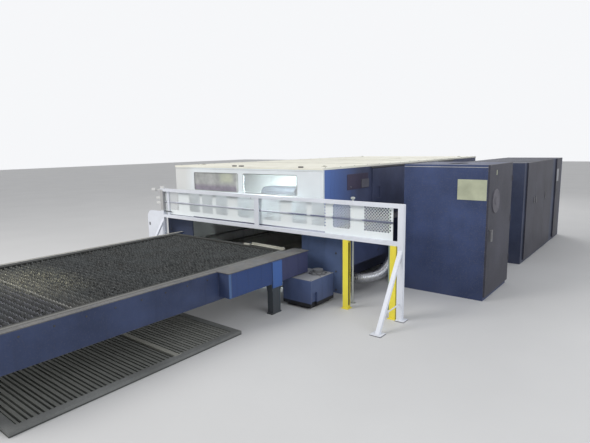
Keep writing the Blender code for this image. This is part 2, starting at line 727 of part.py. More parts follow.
def guide_rail(side, name):
    """A profiled linear guide along the top of a bed beam."""
    x, base, neck, head = side * GUIDE_X, GUIDE_BASE / 2, GUIDE_NECK / 2, GUIDE_HEAD / 2
    low = BED_TOP + CLEAR
    high = low + GUIDE_HEIGHT
    third = GUIDE_HEIGHT / 3
    right = [(x + base, low), (x + base, low + third), (x + neck, low + third * 3 / 2),
             (x + head, low + third * 2), (x + head, high)]
    left = [(2 * x - u, v) for u, v in reversed(right)]
    profile(name, [right + left], "Y", GUIDE_END, BED_LENGTH - GUIDE_END, MACHINED)


def bridge():
    """The gantry beam, its end trucks and the two slideways on its front."""
    front, back = BRIDGE_Y - BRIDGE_DEPTH / 2, BRIDGE_Y + BRIDGE_DEPTH / 2
    edge = BRIDGE_CHAMFER
    ring = [(front, BRIDGE_BOTTOM), (back - edge, BRIDGE_BOTTOM), (back, BRIDGE_BOTTOM + edge),
            (back, BRIDGE_TOP), (front, BRIDGE_TOP)]
    reach = GUIDE_X + TRUCK_HALF
    beam = profile("bridge", [ring], "X", -reach, reach, WHITE_PAINT)
    low = BED_TOP + CLEAR + GUIDE_HEIGHT + CLEAR
    trucks = [((side * GUIDE_X - TRUCK_HALF + BITE, BRIDGE_Y - TRUCK_LENGTH / 2, low),
               (side * GUIDE_X + TRUCK_HALF - BITE, BRIDGE_Y + TRUCK_LENGTH / 2,
                BRIDGE_BOTTOM + BITE)) for side in (1, -1)]
    weld(beam, boxes("trucks", trucks, tool=True))
    reach = GUIDE_X - TRUCK_HALF
    ways = [((-reach, front - WAY_DEPTH, z), (reach, front + BITE, z + WAY_HEIGHT))
            for z in (BRIDGE_BOTTOM + WAY_HEIGHT, BRIDGE_TOP - 2 * WAY_HEIGHT)]
    weld(beam, boxes("slideways", ways, tool=True))


def carriage():
    """The cross carriage under its rounded cover, hung on the bridge's front and top."""
    front = BRIDGE_Y - BRIDGE_DEPTH / 2
    ways = front - WAY_DEPTH - CLEAR
    nose = front - CARRIAGE_FRONT
    back = front + CARRIAGE_BACK
    top = BRIDGE_TOP + CLEAR
    ring = [(nose, CARRIAGE_BOTTOM), (ways, CARRIAGE_BOTTOM), (ways, top), (back, top)]
    for centre, quarter in (((back - CARRIAGE_ROUND, CARRIAGE_TOP - CARRIAGE_ROUND), 0),
                            ((nose + CARRIAGE_ROUND, CARRIAGE_TOP - CARRIAGE_ROUND), 1)):
        for step in range(5):
            angle = (quarter + step / 4) * pi / 2
            ring.append((centre[0] + CARRIAGE_ROUND * cos(angle),
                         centre[1] + CARRIAGE_ROUND * sin(angle)))
    half = CARRIAGE_WIDTH / 2
    profile("carriage", [ring], "X", CARRIAGE_X - half, CARRIAGE_X + half, BLUE_PAINT)


def head():
    """The cutting head's body on the carriage's front, and its turned nozzle."""
    back = BRIDGE_Y - BRIDGE_DEPTH / 2 - CARRIAGE_FRONT - CLEAR
    front = back - HEAD_DEPTH
    half, edge = HEAD_WIDTH / 2, HEAD_CHAMFER
    x = CARRIAGE_X
    ring = [(x - half, back), (x - half, front + edge), (x - half + edge, front),
            (x + half - edge, front), (x + half, front + edge), (x + half, back)]
    profile("cutting_head", [ring], "Z", HEAD_BOTTOM, HEAD_TOP, WHITE_PAINT)
    tall = HEAD_BOTTOM - CLEAR - NOZZLE_TIP
    outline = [(0, tall), (NOZZLE_RADIUS, tall), (NOZZLE_RADIUS, tall - NOZZLE_COLLAR),
               (NOZZLE_RADIUS * 3 / 4, tall - NOZZLE_COLLAR), (NOZZLE_RADIUS * 3 / 4, tall / 2),
               (NOZZLE_MOUTH, 0), (0, 0)]
    turned("nozzle", outline, BRASS_METAL, (x, (front + back) / 2, NOZZLE_TIP), steps=20)


# Cover

def windows():
    return (("left", WINDOW_LEFT_A, WINDOW_LEFT_B), ("right", WINDOW_RIGHT_A, WINDOW_RIGHT_B))


def cover():
    """White front with two windows, navy side and rear walls, white roof."""
    low = BED_TOP + CLEAR
    high = COVER_TOP - ROOF_THICK - CLEAR
    rings = [rectangle(-COVER_HALF, COVER_HALF, low, high)]
    for _, left, right in windows():
        rings.append(rounded(left, right, WINDOW_BOTTOM, WINDOW_TOP, WINDOW_CORNER))
    profile("cover_front", rings, "Y", 0, COVER_SHEET, WHITE_PAINT)
    for name, left, right in windows():
        ring = rounded(left + CLEAR, right - CLEAR, WINDOW_BOTTOM + CLEAR, WINDOW_TOP - CLEAR,
                       WINDOW_CORNER)
        middle = COVER_SHEET / 2
        profile(f"window_{name}", [ring], "Y", middle - PANE_THICK / 2, middle + PANE_THICK / 2,
                CLEAR_PANE)
    start, inner = COVER_SHEET + CLEAR, COVER_HALF - COVER_SHEET
    wall = rectangle(start, BED_LENGTH, low, high)
    hole = rectangle(DOOR_Y, DOOR_Y + DOOR_LENGTH, DOOR_BOTTOM, DOOR_TOP)
    profile("cover_right", [wall, hole], "X", inner, COVER_HALF, NAVY_PAINT)
    box("cover_left", (-COVER_HALF, start, low), (-inner, BED_LENGTH, high), NAVY_PAINT)
    box("cover_rear", (-inner + CLEAR, BED_LENGTH - COVER_SHEET, low),
        (inner - CLEAR, BED_LENGTH, high), NAVY_PAINT)
    reach = COVER_HALF + ROOF_EAVES
    roof = box("roof", (-reach, -ROOF_EAVES, COVER_TOP - ROOF_THICK),
               (reach, BED_LENGTH + ROOF_EAVES, COVER_TOP), WHITE_PAINT)
    return roof


def side_door():
    """The access door that slides along the outside of the right wall."""
    low_x = COVER_HALF + CLEAR
    face = low_x + DOOR_THICK
    door = box("side_door", (low_x, DOOR_Y - DOOR_LAP, DOOR_BOTTOM - DOOR_LAP),
               (face, DOOR_Y + DOOR_LENGTH + DOOR_LAP, DOOR_TOP + DOOR_LAP), NAVY_PAINT)
    middle = (DOOR_BOTTOM + DOOR_TOP) / 2
    low_y = DOOR_Y + DOOR_PULL_INSET
    cut(door, box("door_pull", (face - DOOR_PULL_DEPTH, low_y, middle - DOOR_PULL_HEIGHT / 2),
                  (face + OVERRUN, low_y + DOOR_PULL_WIDTH, middle + DOOR_PULL_HEIGHT / 2),
                  tool=True))


def work_lamp():
    """The long lamp under the roof: a trough-shaped body."""
    top = COVER_TOP - ROOF_THICK - CLEAR
    lip = LAMP_LIP
    half = LAMP_WIDTH / 2
    ring = [(LAMP_Y - half, top - LAMP_HEIGHT), (LAMP_Y + half, top - LAMP_HEIGHT),
            (LAMP_Y + half, top - lip), (LAMP_Y + half - lip, top), (LAMP_Y - half + lip, top),
            (LAMP_Y - half, top - lip)]
    profile("work_lamp", [ring], "X", LAMP_X - LAMP_LENGTH / 2, LAMP_X + LAMP_LENGTH / 2,
            WHITE_PAINT)


# Guard

def brace(side, outer, name):
    """A sloping brace in front of a post and the two foot plates, as tools to weld on."""
    x = outer - side * FENCE_POST / 2
    half = BRACE_TUBE / 2
    front = FENCE_Y - FENCE_TUBE / 2
    low_y = front - BRACE_REACH
    plate = FOOT_PLATE_THICK
    ring = [(low_y - half, plate / 2), (low_y + half, plate / 2), (front + BITE, BRACE_TOP - half),
            (front + BITE, BRACE_TOP + half)]
    slope = profile(name, [ring], "X", x - half, x + half, tool=True)
    wide = FOOT_PLATE_HALF
    low_x, high_x = sorted((outer - side * (FENCE_POST - BITE / 3), outer + side * FOOT_PLATE_LIP))
    plates = [((low_x, FENCE_Y - wide, 0), (high_x, FENCE_Y + wide, plate)),
              ((x - wide, low_y - wide, 0), (x + wide, low_y + wide, plate))]
    return slope, boxes(name + "_plates", plates, tool=True)


def fence_frame():
    """Posts, rails and braces of white square tube, welded in one piece."""
    inner_left, inner_right = FENCE_LEFT + FENCE_POST, FENCE_RIGHT - FENCE_POST
    rail_top = FENCE_RAIL_BOTTOM + FENCE_RAIL
    outer = [(FENCE_LEFT, 0), (inner_left, 0), (inner_left, FENCE_RAIL_BOTTOM),
             (inner_right, FENCE_RAIL_BOTTOM), (inner_right, 0), (FENCE_RIGHT, 0),
             (FENCE_RIGHT, FENCE_TOP), (FENCE_LEFT, FENCE_TOP)]
    hole = rectangle(inner_left, inner_right, rail_top, FENCE_TOP - FENCE_RAIL)
    half = FENCE_TUBE / 2
    frame = profile("fence_frame", [outer, hole], "Y", FENCE_Y - half, FENCE_Y + half,
                    WHITE_PAINT)
    weld(frame, box("upright", (UPRIGHT_LEFT, FENCE_Y - half + BITE / 3, rail_top - BITE),
                    (UPRIGHT_LEFT + UPRIGHT_WIDTH, FENCE_Y - half + UPRIGHT_THICK,
                     FENCE_TOP - FENCE_RAIL + BITE), tool=True))
    low_z = FENCE_RAIL_BOTTOM + BITE / 3
    bars = [((x - TIE_BAR_WIDTH / 2, FENCE_Y, low_z),
             (x + TIE_BAR_WIDTH / 2, -CLEAR, low_z + TIE_BAR_THICK))
            for x in (-TIE_BAR_X, TIE_BAR_X)]
    weld(frame, boxes("tie_bars", bars, tool=True))
    for side, outer, name in ((-1, FENCE_LEFT, "left_brace"), (1, FENCE_RIGHT, "right_brace")):
        for piece in brace(side, outer, name):
            weld(frame, piece)


def fence_panel():
    """The sheet behind the rails, with its pierced fields of diamond holes."""
    rings = [rectangle(FENCE_LEFT + FENCE_POST / 2, PANEL_RIGHT,
                       FENCE_RAIL_BOTTOM + PANEL_TOP_LAP, FENCE_TOP - PANEL_TOP_LAP)]
    rows = int((FIELD_TOP - FIELD_BOTTOM) / HOLE_PITCH)
    middle_z = (FIELD_TOP + FIELD_BOTTOM) / 2
    for place_share, width_share in FIELD_SHARES:
        left, width = FENCE_LEFT + FENCE_LENGTH * place_share, FENCE_LENGTH * width_share
        columns = int(width / HOLE_PITCH)
        for row in range(rows):
            for column in range(columns):
                x = left + width / 2 + (column - (columns - 1) / 2) * HOLE_PITCH
                z = middle_z + (row - (rows - 1) / 2) * HOLE_PITCH
                rings.append([(x - HOLE_HALF, z), (x, z - HOLE_HALF), (x + HOLE_HALF, z),
                              (x, z + HOLE_HALF)])
    back = FENCE_Y + FENCE_TUBE / 2 + CLEAR
    profile("fence_panel", rings, "Y", back, back + PANEL_THICK, WHITE_PAINT)


def end_plate():
    """The plain plate that reaches out beyond the fence's far post, its free top corner round."""
    round_ring = rounded(END_PLATE_LEFT, END_PLATE_RIGHT, END_PLATE_BOTTOM, END_PLATE_TOP,
                         END_PLATE_CORNER)
    outer = [(END_PLATE_RIGHT, END_PLATE_TOP), *round_ring[5:10],
             (END_PLATE_LEFT, END_PLATE_BOTTOM), (END_PLATE_RIGHT, END_PLATE_BOTTOM)]
    x, z = END_PLATE_LEFT + END_PLATE_HOLE_X, END_PLATE_TOP - END_PLATE_HOLE_DROP
    hole = rounded(x - END_PLATE_HOLE, x + END_PLATE_HOLE, z - END_PLATE_HOLE_TALL,
                   z + END_PLATE_HOLE_TALL, END_PLATE_HOLE * 3 / 4, 3)
    front = FENCE_Y + FENCE_TUBE / 2 + CLEAR
    profile("end_plate", [outer, hole], "Y", front, front + END_PLATE_THICK, WHITE_PAINT)


def column(x, facing, name):
    """A yellow light-barrier column on its foot, its optics groove facing the other column."""
    half, depth = facing * COLUMN_WIDTH / 2, COLUMN_DEPTH / 2
    slot, deep = COLUMN_SLOT / 2, facing * COLUMN_SLOT_DEPTH
    ring = [(x - half, FENCE_Y - depth), (x + half, FENCE_Y - depth), (x + half, FENCE_Y - slot),
            (x + half - deep, FENCE_Y - slot), (x + half - deep, FENCE_Y + slot),
            (x + half, FENCE_Y + slot), (x + half, FENCE_Y + depth), (x - half, FENCE_Y + depth)]
    post = profile(name, [ring], "Z", COLUMN_FOOT_THICK / 2, FENCE_RAIL_BOTTOM - CLEAR,
                   YELLOW_PAINT)
    foot = COLUMN_FOOT / 2
    weld(post, box(name + "_foot", (x - foot, FENCE_Y - foot, 0),
                   (x + foot, FENCE_Y + foot, COLUMN_FOOT_THICK), tool=True))


# Fume extraction and cabinets

def smooth_route(stops, steps):
    """Points of a smooth curve (Catmull-Rom) through the stops."""
    stops = [Vector(stop) for stop in stops]
    ends = [2 * stops[0] - stops[1]] + stops + [2 * stops[-1] - stops[-2]]
    points = []
    for a, b, c, d in zip(ends, ends[1:], ends[2:], ends[3:]):
        for step in range(steps):
            t = step / steps
            points.append((b * 2 + (c - a) * t + (a * 2 - b * 5 + c * 4 - d) * t ** 2
                           + (b * 3 - a - c * 3 + d) * t ** 3) / 2)
    return points + [stops[-1]]


def fume_duct():
    """The bright duct from the bed's suction port round to the filter cabinet."""
    start_x = BED_IN + BED_WEB + CLEAR
    run = FILTER_LEFT - DUCT_RUN_X
    end_y = FILTER_FRONT + DUCT_IN_Y
    y, z, r = DUCT_OUT_Y, DUCT_OUT_Z, DUCT_RADIUS
    high = z + DUCT_RISE
    stops = [(start_x + r / 2, y, z), (start_x + 3 * r, y, z), (run - 2 * r, y + r / 2, z),
             (run, y + 4 * r, z + r / 2), (run, (y + end_y) / 2 + 2 * r, (z + high) / 2 + r / 2),
             (run + r / 4, end_y - r, high - r / 4), (FILTER_LEFT - r, end_y, high),
             (FILTER_LEFT - r / 2, end_y, high)]
    ends = Vector((start_x, y, z)), Vector((FILTER_LEFT - CLEAR, end_y, high))
    curve = bpy.data.curves.new("duct_route", "CURVE")
    curve.dimensions = "3D"
    curve.bevel_depth = DUCT_RADIUS
    curve.bevel_resolution = 3
    curve.use_fill_caps = True
    points = [ends[0]] + smooth_route(stops, DUCT_STEPS) + [ends[1]]
    spline = curve.splines.new("POLY")
    spline.points.add(len(points) - 1)
    for point, spot in zip(spline.points, points):
        point.co = (*spot, 1)
    route = place("duct_route", curve, None)
    to_mesh(route, "fume_duct", BRIGHT_DUCT)


def filter_cabinet():
    """The tall sheet-metal cabinet beside the machine, open towards its door."""
    wall = CABINET_WALL
    shell = box("filter_cabinet", (FILTER_LEFT, FILTER_FRONT, 0),
                (FILTER_RIGHT, FILTER_BACK, FILTER_HEIGHT), NAVY_PAINT)
    cut(shell, box("filter_inside", (FILTER_LEFT + wall, FILTER_FRONT + wall, CABINET_PLINTH),
                   (FILTER_RIGHT + OVERRUN, FILTER_BACK - wall, FILTER_HEIGHT - wall),
                   tool=True))
    box("filter_door", (FILTER_RIGHT + CLEAR, FILTER_FRONT, CABINET_PLINTH - wall),
        (FILTER_DOOR_FACE, FILTER_BACK, FILTER_HEIGHT - CLEAR), NAVY_PAINT,
        spot=(FILTER_DOOR_FACE, FILTER_BACK, 0))
    low_x, high_x = FILTER_LEFT + wall + CLEAR, FILTER_RIGHT - PLENUM_DOOR_GAP
    low_y, high_y = FILTER_FRONT + wall + CLEAR, FILTER_BACK - wall - CLEAR
    top = FILTER_HEIGHT - wall - CLEAR
    bottom = top - PLENUM_HEIGHT
    unit = box("filter_unit", (low_x, low_y, bottom), (high_x, high_y, top), GREY_STEEL)
    spots = [(low_x + (high_x - low_x) * u, low_y + (high_y - low_y) * v,
              bottom - CARTRIDGE_LENGTH / 2 + BITE) for u in (1 / 4, 3 / 4) for v in (1 / 4, 3 / 4)]
    weld(unit, rods("cartridges", spots, CARTRIDGE_RADIUS, CARTRIDGE_LENGTH, sides=16, tool=True))


def door_handle():
    """The lever on the filter cabinet's door."""
    y = FILTER_FRONT + HANDLE_INSET
    face = FILTER_DOOR_FACE + CLEAR
    boss = HANDLE_STAND
    spot = (face + boss / 2, y, HANDLE_Z)
    lever = box("filter_handle", (face + boss - BITE / 2, y - HANDLE_WIDTH / 2,
                                  HANDLE_Z - HANDLE_LENGTH),
                (face + boss + HANDLE_THICK, y + HANDLE_WIDTH / 2, HANDLE_Z + HANDLE_WIDTH / 2),
                MACHINED, spot=spot)
    weld(lever, rods("handle_boss", [spot], HANDLE_BOSS / 2, boss, sides=12, tool=True,
                     axis="X"))


def laser_room(index):
    """First and last Y of the front or the rear room in the cabinet row."""
    start, end = LASER_ROOMS[index]
    return LASER_FRONT + start, LASER_FRONT + end


def laser_cabinet():
    """The long cabinet row: two rooms behind four door openings, and a cable trough."""
    shell = box("laser_cabinet", (LASER_LEFT, LASER_FRONT, 0),
                (LASER_RIGHT, LASER_FRONT + LASER_LENGTH, LASER_HEIGHT), NAVY_PAINT)
    wall, post = CABINET_WALL, LASER_POST
    rooms = []
    for index in range(len(LASER_ROOMS)):
        low, high = laser_room(index)
        rooms.append(((LASER_LEFT + wall, low, CABINET_PLINTH),
                      (LASER_RIGHT - wall, high, LASER_HEIGHT - wall)))
    cut(shell, boxes("laser_rooms", rooms, tool=True))
    face = LASER_RIGHT + CLEAR + LEAF_THICK
    mouths = []
    for name, start, width, hinge in LASER_DOOR_EDGES:
        low, high = LASER_FRONT + start, LASER_FRONT + start + width
        mouths.append(((LASER_RIGHT - wall - OVERRUN, low + post, CABINET_PLINTH + post),
                       (LASER_RIGHT + OVERRUN, high - post, LASER_HEIGHT - wall - post)))
        low, high = low + LASER_LEAF_GAP / 2, high - LASER_LEAF_GAP / 2
        box(name, (LASER_RIGHT + CLEAR, low, CABINET_PLINTH - wall),
            (face, high, LASER_HEIGHT - CLEAR), NAVY_PAINT,
            spot=(face, high if hinge > 0 else low, 0))
    cut(shell, boxes("laser_mouths", mouths, tool=True))
    low_y = LASER_FRONT + TROUGH_START
    weld(shell, box("cable_trough", (BED_HALF + CLEAR, low_y, TROUGH_BOTTOM),
                    (LASER_LEFT + BITE, low_y + TROUGH_WIDTH, TROUGH_BOTTOM + TROUGH_HEIGHT),
                    tool=True))


def laser_source():
    """The laser source module in the front room, with cooling slots down its face."""
    low, high = laser_room(0)
    low_x, high_x = LASER_LEFT + CABINET_WALL + CLEAR, LASER_RIGHT - SOURCE_GAP
    low_y, high_y = low + SOURCE_GAP, high - SOURCE_GAP
    base = CABINET_PLINTH + CLEAR
    source = box("laser_source", (low_x, low_y, base), (high_x, high_y, base + SOURCE_HEIGHT),
                 WHITE_PAINT)
    count = int((SOURCE_HEIGHT - SOURCE_FIN_PITCH) / SOURCE_FIN_PITCH)
    slots = []
    for index in range(count):
        z = base + SOURCE_FIN_PITCH * (index + 1)
        slots.append(((high_x - SOURCE_FIN_DEPTH, low_y + SOURCE_FIN_DEPTH, z),
                      (high_x + OVERRUN, high_y - SOURCE_FIN_DEPTH, z + SOURCE_FIN)))
    cut(source, boxes("fin_slots", slots, tool=True))


def chiller():
    """The water chiller in the rear room, with two round fan mouths in its face."""
    low, high = laser_room(1)
    low_x, high_x = LASER_LEFT + CABINET_WALL + CLEAR, LASER_RIGHT - SOURCE_GAP
    low_y, high_y = low + SOURCE_GAP, high - SOURCE_GAP
    base = CABINET_PLINTH + CLEAR
    unit = box("chiller", (low_x, low_y, base), (high_x, high_y, base + CHILLER_HEIGHT),
               WHITE_PAINT)
    middle, z = (low_y + high_y) / 2, base + CHILLER_HEIGHT / 2
    spots = [(high_x, middle + side * CHILLER_FAN * 3 / 2, z) for side in (-1, 1)]
    cut(unit, rods("fan_mouths", spots, CHILLER_FAN, 2 * CHILLER_FAN_DEPTH, sides=24, tool=True,
                   axis="X"))


def build():
    """Make every piece of the machine."""
    near_beam()
    far_beam()
    near_top_strip()
    legs()
    rails()
    for level, top in (("upper", TABLE_TOP), ("lower", LOWER_TOP)):
        pallet(level + "_pallet", top)
        wheels(level, top)
    floor_grate()
    drive()
    front_plate()
    bed(1, "bed_right")
    bed(-1, "bed_left")
    bed_cross()
    scrap_tray()
    guide_rail(1, "guide_rail_right")
    guide_rail(-1, "guide_rail_left")
    bridge()
    carriage()
    head()
    cover()
    side_door()
    work_lamp()
    fence_frame()
    fence_panel()
    end_plate()
    column(COLUMN_XS[0], 1, "light_column_left")
    column(COLUMN_XS[1], -1, "light_column_right")
    fume_duct()
    filter_cabinet()
    door_handle()
    laser_cabinet()
    laser_source()
    chiller()


build()
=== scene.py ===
"""Visual model of a flat-bed fiber laser cutting machine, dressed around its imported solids."""

import math

import bmesh
import bpy
import numpy as np
from mathutils import Matrix, Vector


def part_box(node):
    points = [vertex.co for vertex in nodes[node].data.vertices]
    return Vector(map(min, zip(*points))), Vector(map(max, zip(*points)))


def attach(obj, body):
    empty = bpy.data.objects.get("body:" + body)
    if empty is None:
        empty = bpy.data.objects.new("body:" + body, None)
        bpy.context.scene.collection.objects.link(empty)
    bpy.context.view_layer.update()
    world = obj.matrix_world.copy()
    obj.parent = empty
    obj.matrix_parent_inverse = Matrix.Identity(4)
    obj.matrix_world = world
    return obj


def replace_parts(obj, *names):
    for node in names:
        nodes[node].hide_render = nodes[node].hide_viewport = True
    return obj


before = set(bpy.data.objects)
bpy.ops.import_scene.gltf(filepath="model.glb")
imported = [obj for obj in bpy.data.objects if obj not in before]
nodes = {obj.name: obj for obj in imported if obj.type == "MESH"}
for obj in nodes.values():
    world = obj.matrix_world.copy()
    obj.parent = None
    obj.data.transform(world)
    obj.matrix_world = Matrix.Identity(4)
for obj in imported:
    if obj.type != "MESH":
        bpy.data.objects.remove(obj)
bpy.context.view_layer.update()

# The studio: a plain pale floor, a pale surround and soft lamps, with the camera where the
# photographer stood, beside the loading table and 2.3 m up. Places are measured from the bed's
# centre line and its front plate.
plate_low, plate_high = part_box("front_plate")
CENTRE_X = (plate_low.x + plate_high.x) / 2
FRONT_Y = plate_low.y
ORIGIN = np.array((CENTRE_X, FRONT_Y, 0.0))
LENS = 29.068
SENSOR = 36.0
EYE = (5.72, -5.80, 2.30)
YAW, PITCH, ROLL = -38.127, 8.932, 0.8786
FLOOR_REACH = 60


def shop(places):
    """Places given from the machine's centre line, front and floor, in the model's frame."""
    return np.asarray(places, float) + ORIGIN


def end_of(name, axis, end):
    """Where a CAD node ends along x, y or z, as a shop place: end 0 is its low side."""
    at = "xyz".index(axis)
    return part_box(name)[end][at] - ORIGIN[at]


def placed(name, data):
    """A new object in the scene, made of the given data."""
    made = bpy.data.objects.new(name, data)
    bpy.context.scene.collection.objects.link(made)
    return made


def stand_camera():
    """A level look along the yaw, tipped down by the pitch and rolled about the line of sight."""
    yaw, pitch, roll = (math.radians(angle) for angle in (YAW, PITCH, ROLL))
    data = bpy.data.cameras.new("camera")
    data.lens, data.sensor_width, data.clip_end = LENS, SENSOR, 200
    camera = placed("camera", data)
    turn = (Matrix.Rotation(-yaw, 4, "Z") @ Matrix.Rotation(math.pi / 2 - pitch, 4, "X")
            @ Matrix.Rotation(-roll, 4, "Z"))
    camera.matrix_world = Matrix.Translation(Vector(shop(EYE))) @ turn
    bpy.context.scene.camera = camera


def feed(shader, links):
    """Join each socket of a shader node to another's output, or set it to a constant."""
    for socket, value in links:
        if isinstance(value, bpy.types.NodeSocket):
            shader.id_data.links.new(value, shader.inputs[socket])
        else:
            shader.inputs[socket].default_value = value


def node(tree, kind, links=(), **settings):
    """Add a shader node, set its options and feed its sockets."""
    made = tree.nodes.new("ShaderNode" + kind)
    for key, value in settings.items():
        setattr(made, key, value)
    feed(made, links)
    return made


def ranged(value, low, high, to_low=0.0, to_high=1.0):
    ends = [("From Min", low), ("From Max", high), ("To Min", to_low), ("To Max", to_high)]
    return node(value.id_data, "MapRange", [("Value", value), *ends]).outputs["Result"]


def noise(place, scale, detail=4.0, rough=0.55, stretch=(1, 1, 1)):
    tree = place.id_data
    if stretch != (1, 1, 1):
        place = node(tree, "Mapping", [("Vector", place), ("Scale", stretch)]).outputs[0]
    return node(tree, "TexNoise", [("Vector", place), ("Scale", scale), ("Detail", detail),
                                   ("Roughness", rough)]).outputs["Fac"]


def times(one, other, operation="MULTIPLY"):
    return node(one.id_data, "Math", [(0, one), (1, other)], operation=operation,
                use_clamp=True).outputs[0]


def finish(name):
    """A new material, its shader, and the places on the object that wears it."""
    material = bpy.data.materials.new(name)
    material.use_nodes = True
    tree = material.node_tree
    return material, tree.nodes["Principled BSDF"], node(tree, "TexCoord").outputs["Object"]


def studio():
    world = bpy.data.worlds.new("studio")
    bpy.context.scene.world = world
    world.use_nodes = True
    tree = world.node_tree
    rays = node(tree, "LightPath").outputs
    seen = times(rays["Is Camera Ray"], rays["Is Glossy Ray"], "MAXIMUM")
    seen = times(seen, rays["Is Transmission Ray"], "MAXIMUM")
    feed(tree.nodes["Background"], [("Color", (0.97, 0.98, 1, 1)),
                                    ("Strength", ranged(seen, 0, 1, 0.56, 0.95))])
    mesh = bpy.data.meshes.new("floor")
    ends = ((-1, -1), (1, -1), (1, 1), (-1, 1))
    mesh.from_pydata([(x * FLOOR_REACH, y * FLOOR_REACH, 0) for x, y in ends], [], [(0, 1, 2, 3)])
    floor = placed("floor", mesh)
    material, shader, place = finish("pale_floor")
    tone = ranged(noise(place, 0.6, 5, 0.5), 0, 1, 0.60, 0.68)
    feed(shader, [("Base Color", tone), ("Roughness", 0.7)])
    mesh.materials.append(material)
    for name, spot, aim, size, watts, colour in (
            ("key", (-3.5, -9.0, 8.5), (0.4, 0.5, 0.6), 6.0, 680, (1, 0.98, 0.95)),
            ("side", (10.0, -2.0, 6.5), (1.0, 1.5, 0.8), 7.0, 260, (0.93, 0.96, 1)),
            ("rear", (-2.0, 13.0, 8.0), (0.0, 4.0, 1.0), 6.0, 320, (1, 1, 1))):
        data = bpy.data.lights.new(name, "AREA")
        data.shape, data.size, data.energy, data.color = "DISK", size, watts, colour
        lamp = placed(name, data)
        lamp.location = shop(spot)
        lamp.rotation_euler = (Vector(aim) - Vector(spot)).to_track_quat("-Z", "Y").to_euler()
    bpy.context.scene.view_settings.view_transform = "Standard"


stand_camera()
studio()

# The bed: two long welded beams on feet, a portal plate and a rear cross beam, all sprayed navy
# and gone grey with cutting dust on top. Their inner faces and the scrap tray are painted pale,
# as painted light in the dark opening under the portal.
# Hexagon screws hold the portal plate to the beams. Trim stands a seat's width off its wall.
SEAT = 0.0003
BED_SIDE, BED_BACK = end_of("bed_right", "x", 1) + SEAT, end_of("bed_right", "y", 1)
NAVY = (0.040, 0.055, 0.125)
DUST = (0.20, 0.19, 0.175)
BARE = (0.24, 0.24, 0.25)


def tinted(colour, by, plus=0.0, most=1.0):
    """A colour made lighter or darker, no part of it above the most."""
    return tuple(min(most, part * by + plus) for part in colour)


def mix(factor, low, high):
    """Mix two colours, or two sockets that carry them."""
    low, high = (end if isinstance(end, bpy.types.NodeSocket) else (*end, 1)
                 for end in (low, high))
    return node(factor.id_data, "Mix", [(0, factor), (6, low), (7, high)],
                data_type="RGBA").outputs[2]


def layered(tone, layers):
    """Lay colours over a tone one after another, each by its share."""
    for share, colour in layers:
        tone = mix(share, tone, colour)
    return tone


def bump(height, strength, distance, under=None):
    """Dents of the given height, laid over an earlier bump where there is one."""
    links = [("Strength", strength), ("Distance", distance), ("Height", height)]
    if under is not None:
        links.append(("Normal", under))
    return node(height.id_data, "Bump", links).outputs[0]


def part_of(vector, axis):
    return node(vector.id_data, "SeparateXYZ", [(0, vector)]).outputs[axis]


def within(place, axis, low, high, soft=0.004):
    """One inside a band of shop places along X, Y or Z, fading to nothing over its soft edges."""
    spot = part_of(place, axis)
    low, high = (end + ORIGIN["XYZ".index(axis)] for end in (low, high))
    return times(ranged(spot, low - soft, low + soft), ranged(spot, high + soft, high - soft))


def zoned(place, tone, zones):
    """Lay each zone's colour over the bands of places that it fills."""
    for colour, bands in zones:
        inside = within(place, *bands[0])
        for band in bands[1:]:
            inside = times(inside, within(place, *band))
        tone = mix(inside, tone, colour)
    return tone


def edge_mask(tree, radius):
    """Bright along a solid's corners: how far the rounded normal leans from the flat one."""
    soft = node(tree, "Bevel", [("Radius", radius)], samples=4)
    flat = node(tree, "NewGeometry").outputs["True Normal"]
    near = node(tree, "VectorMath", [(0, soft.outputs[0]), (1, flat)], operation="DOT_PRODUCT")
    return ranged(near.outputs["Value"], 0.995, 0.80)


def upward(tree):
    return ranged(part_of(node(tree, "NewGeometry").outputs["Normal"], "Z"), 0.55, 0.95)


def enamel(name, colour, dust=0.3, worn=0.2, rough=0.5, grime=0.35, grime_top=0.5,
           dust_colour=DUST, speckle=0.35, shine=0.3, zones=(), cloudy=(0.68, 1.30)):
    """Sprayed paint: cloudy, finely speckled with dust, greyer on top, rubbed at its edges and
    grimier towards the floor. A zone is a colour and the bands of places that it fills."""
    material, shader, place = finish(name)
    tree = material.node_tree
    cloud = noise(place, 1.7, 6)
    tone = mix(ranged(cloud, 0.30, 0.72), tinted(colour, cloudy[0]),
               tinted(colour, cloudy[1], 0.003, 0.97))
    fleck = ranged(noise(place, 62, 3, 0.7), 0.52, 0.78, 0, speckle)
    flecked = tuple(part * 0.45 + drift * 0.42 for part, drift in zip(colour, dust_colour))
    streak = ranged(noise(place, 4, 5, 0.6, (3.2, 3.2, 0.35)), 0.55, 0.8, 0, grime)
    low = times(ranged(part_of(place, "Z"), grime_top, 0.0), ranged(cloud, 0.35, 0.6))
    drift = times(upward(tree), ranged(noise(place, 5.5, 7, 0.62), 0.28, 0.6))
    rub = times(edge_mask(tree, 0.007), ranged(noise(place, 11, 5), 0.42, 0.6))
    tone = layered(zoned(place, tone, zones), [
        (fleck, flecked), (streak, tinted(colour, 0.4, 0.008)),
        (times(low, grime), (0.05, 0.044, 0.04)), (times(drift, dust), dust_colour),
        (times(rub, worn), BARE)])
    gloss = mix(drift, (rough,) * 3, (0.85,) * 3)
    skin = bump(noise(place, 2.2, 2), 0.15, 0.01, bump(noise(place, 240, 2), 0.06, 0.002))
    feed(shader, [("Base Color", tone), ("Roughness", gloss), ("Normal", skin),
                  ("Specular IOR Level", shine)])
    return material


def paint(material, *names):
    """Give CAD nodes their finish."""
    for name in names:
        nodes[name].data.materials.clear()
        nodes[name].data.materials.append(material)


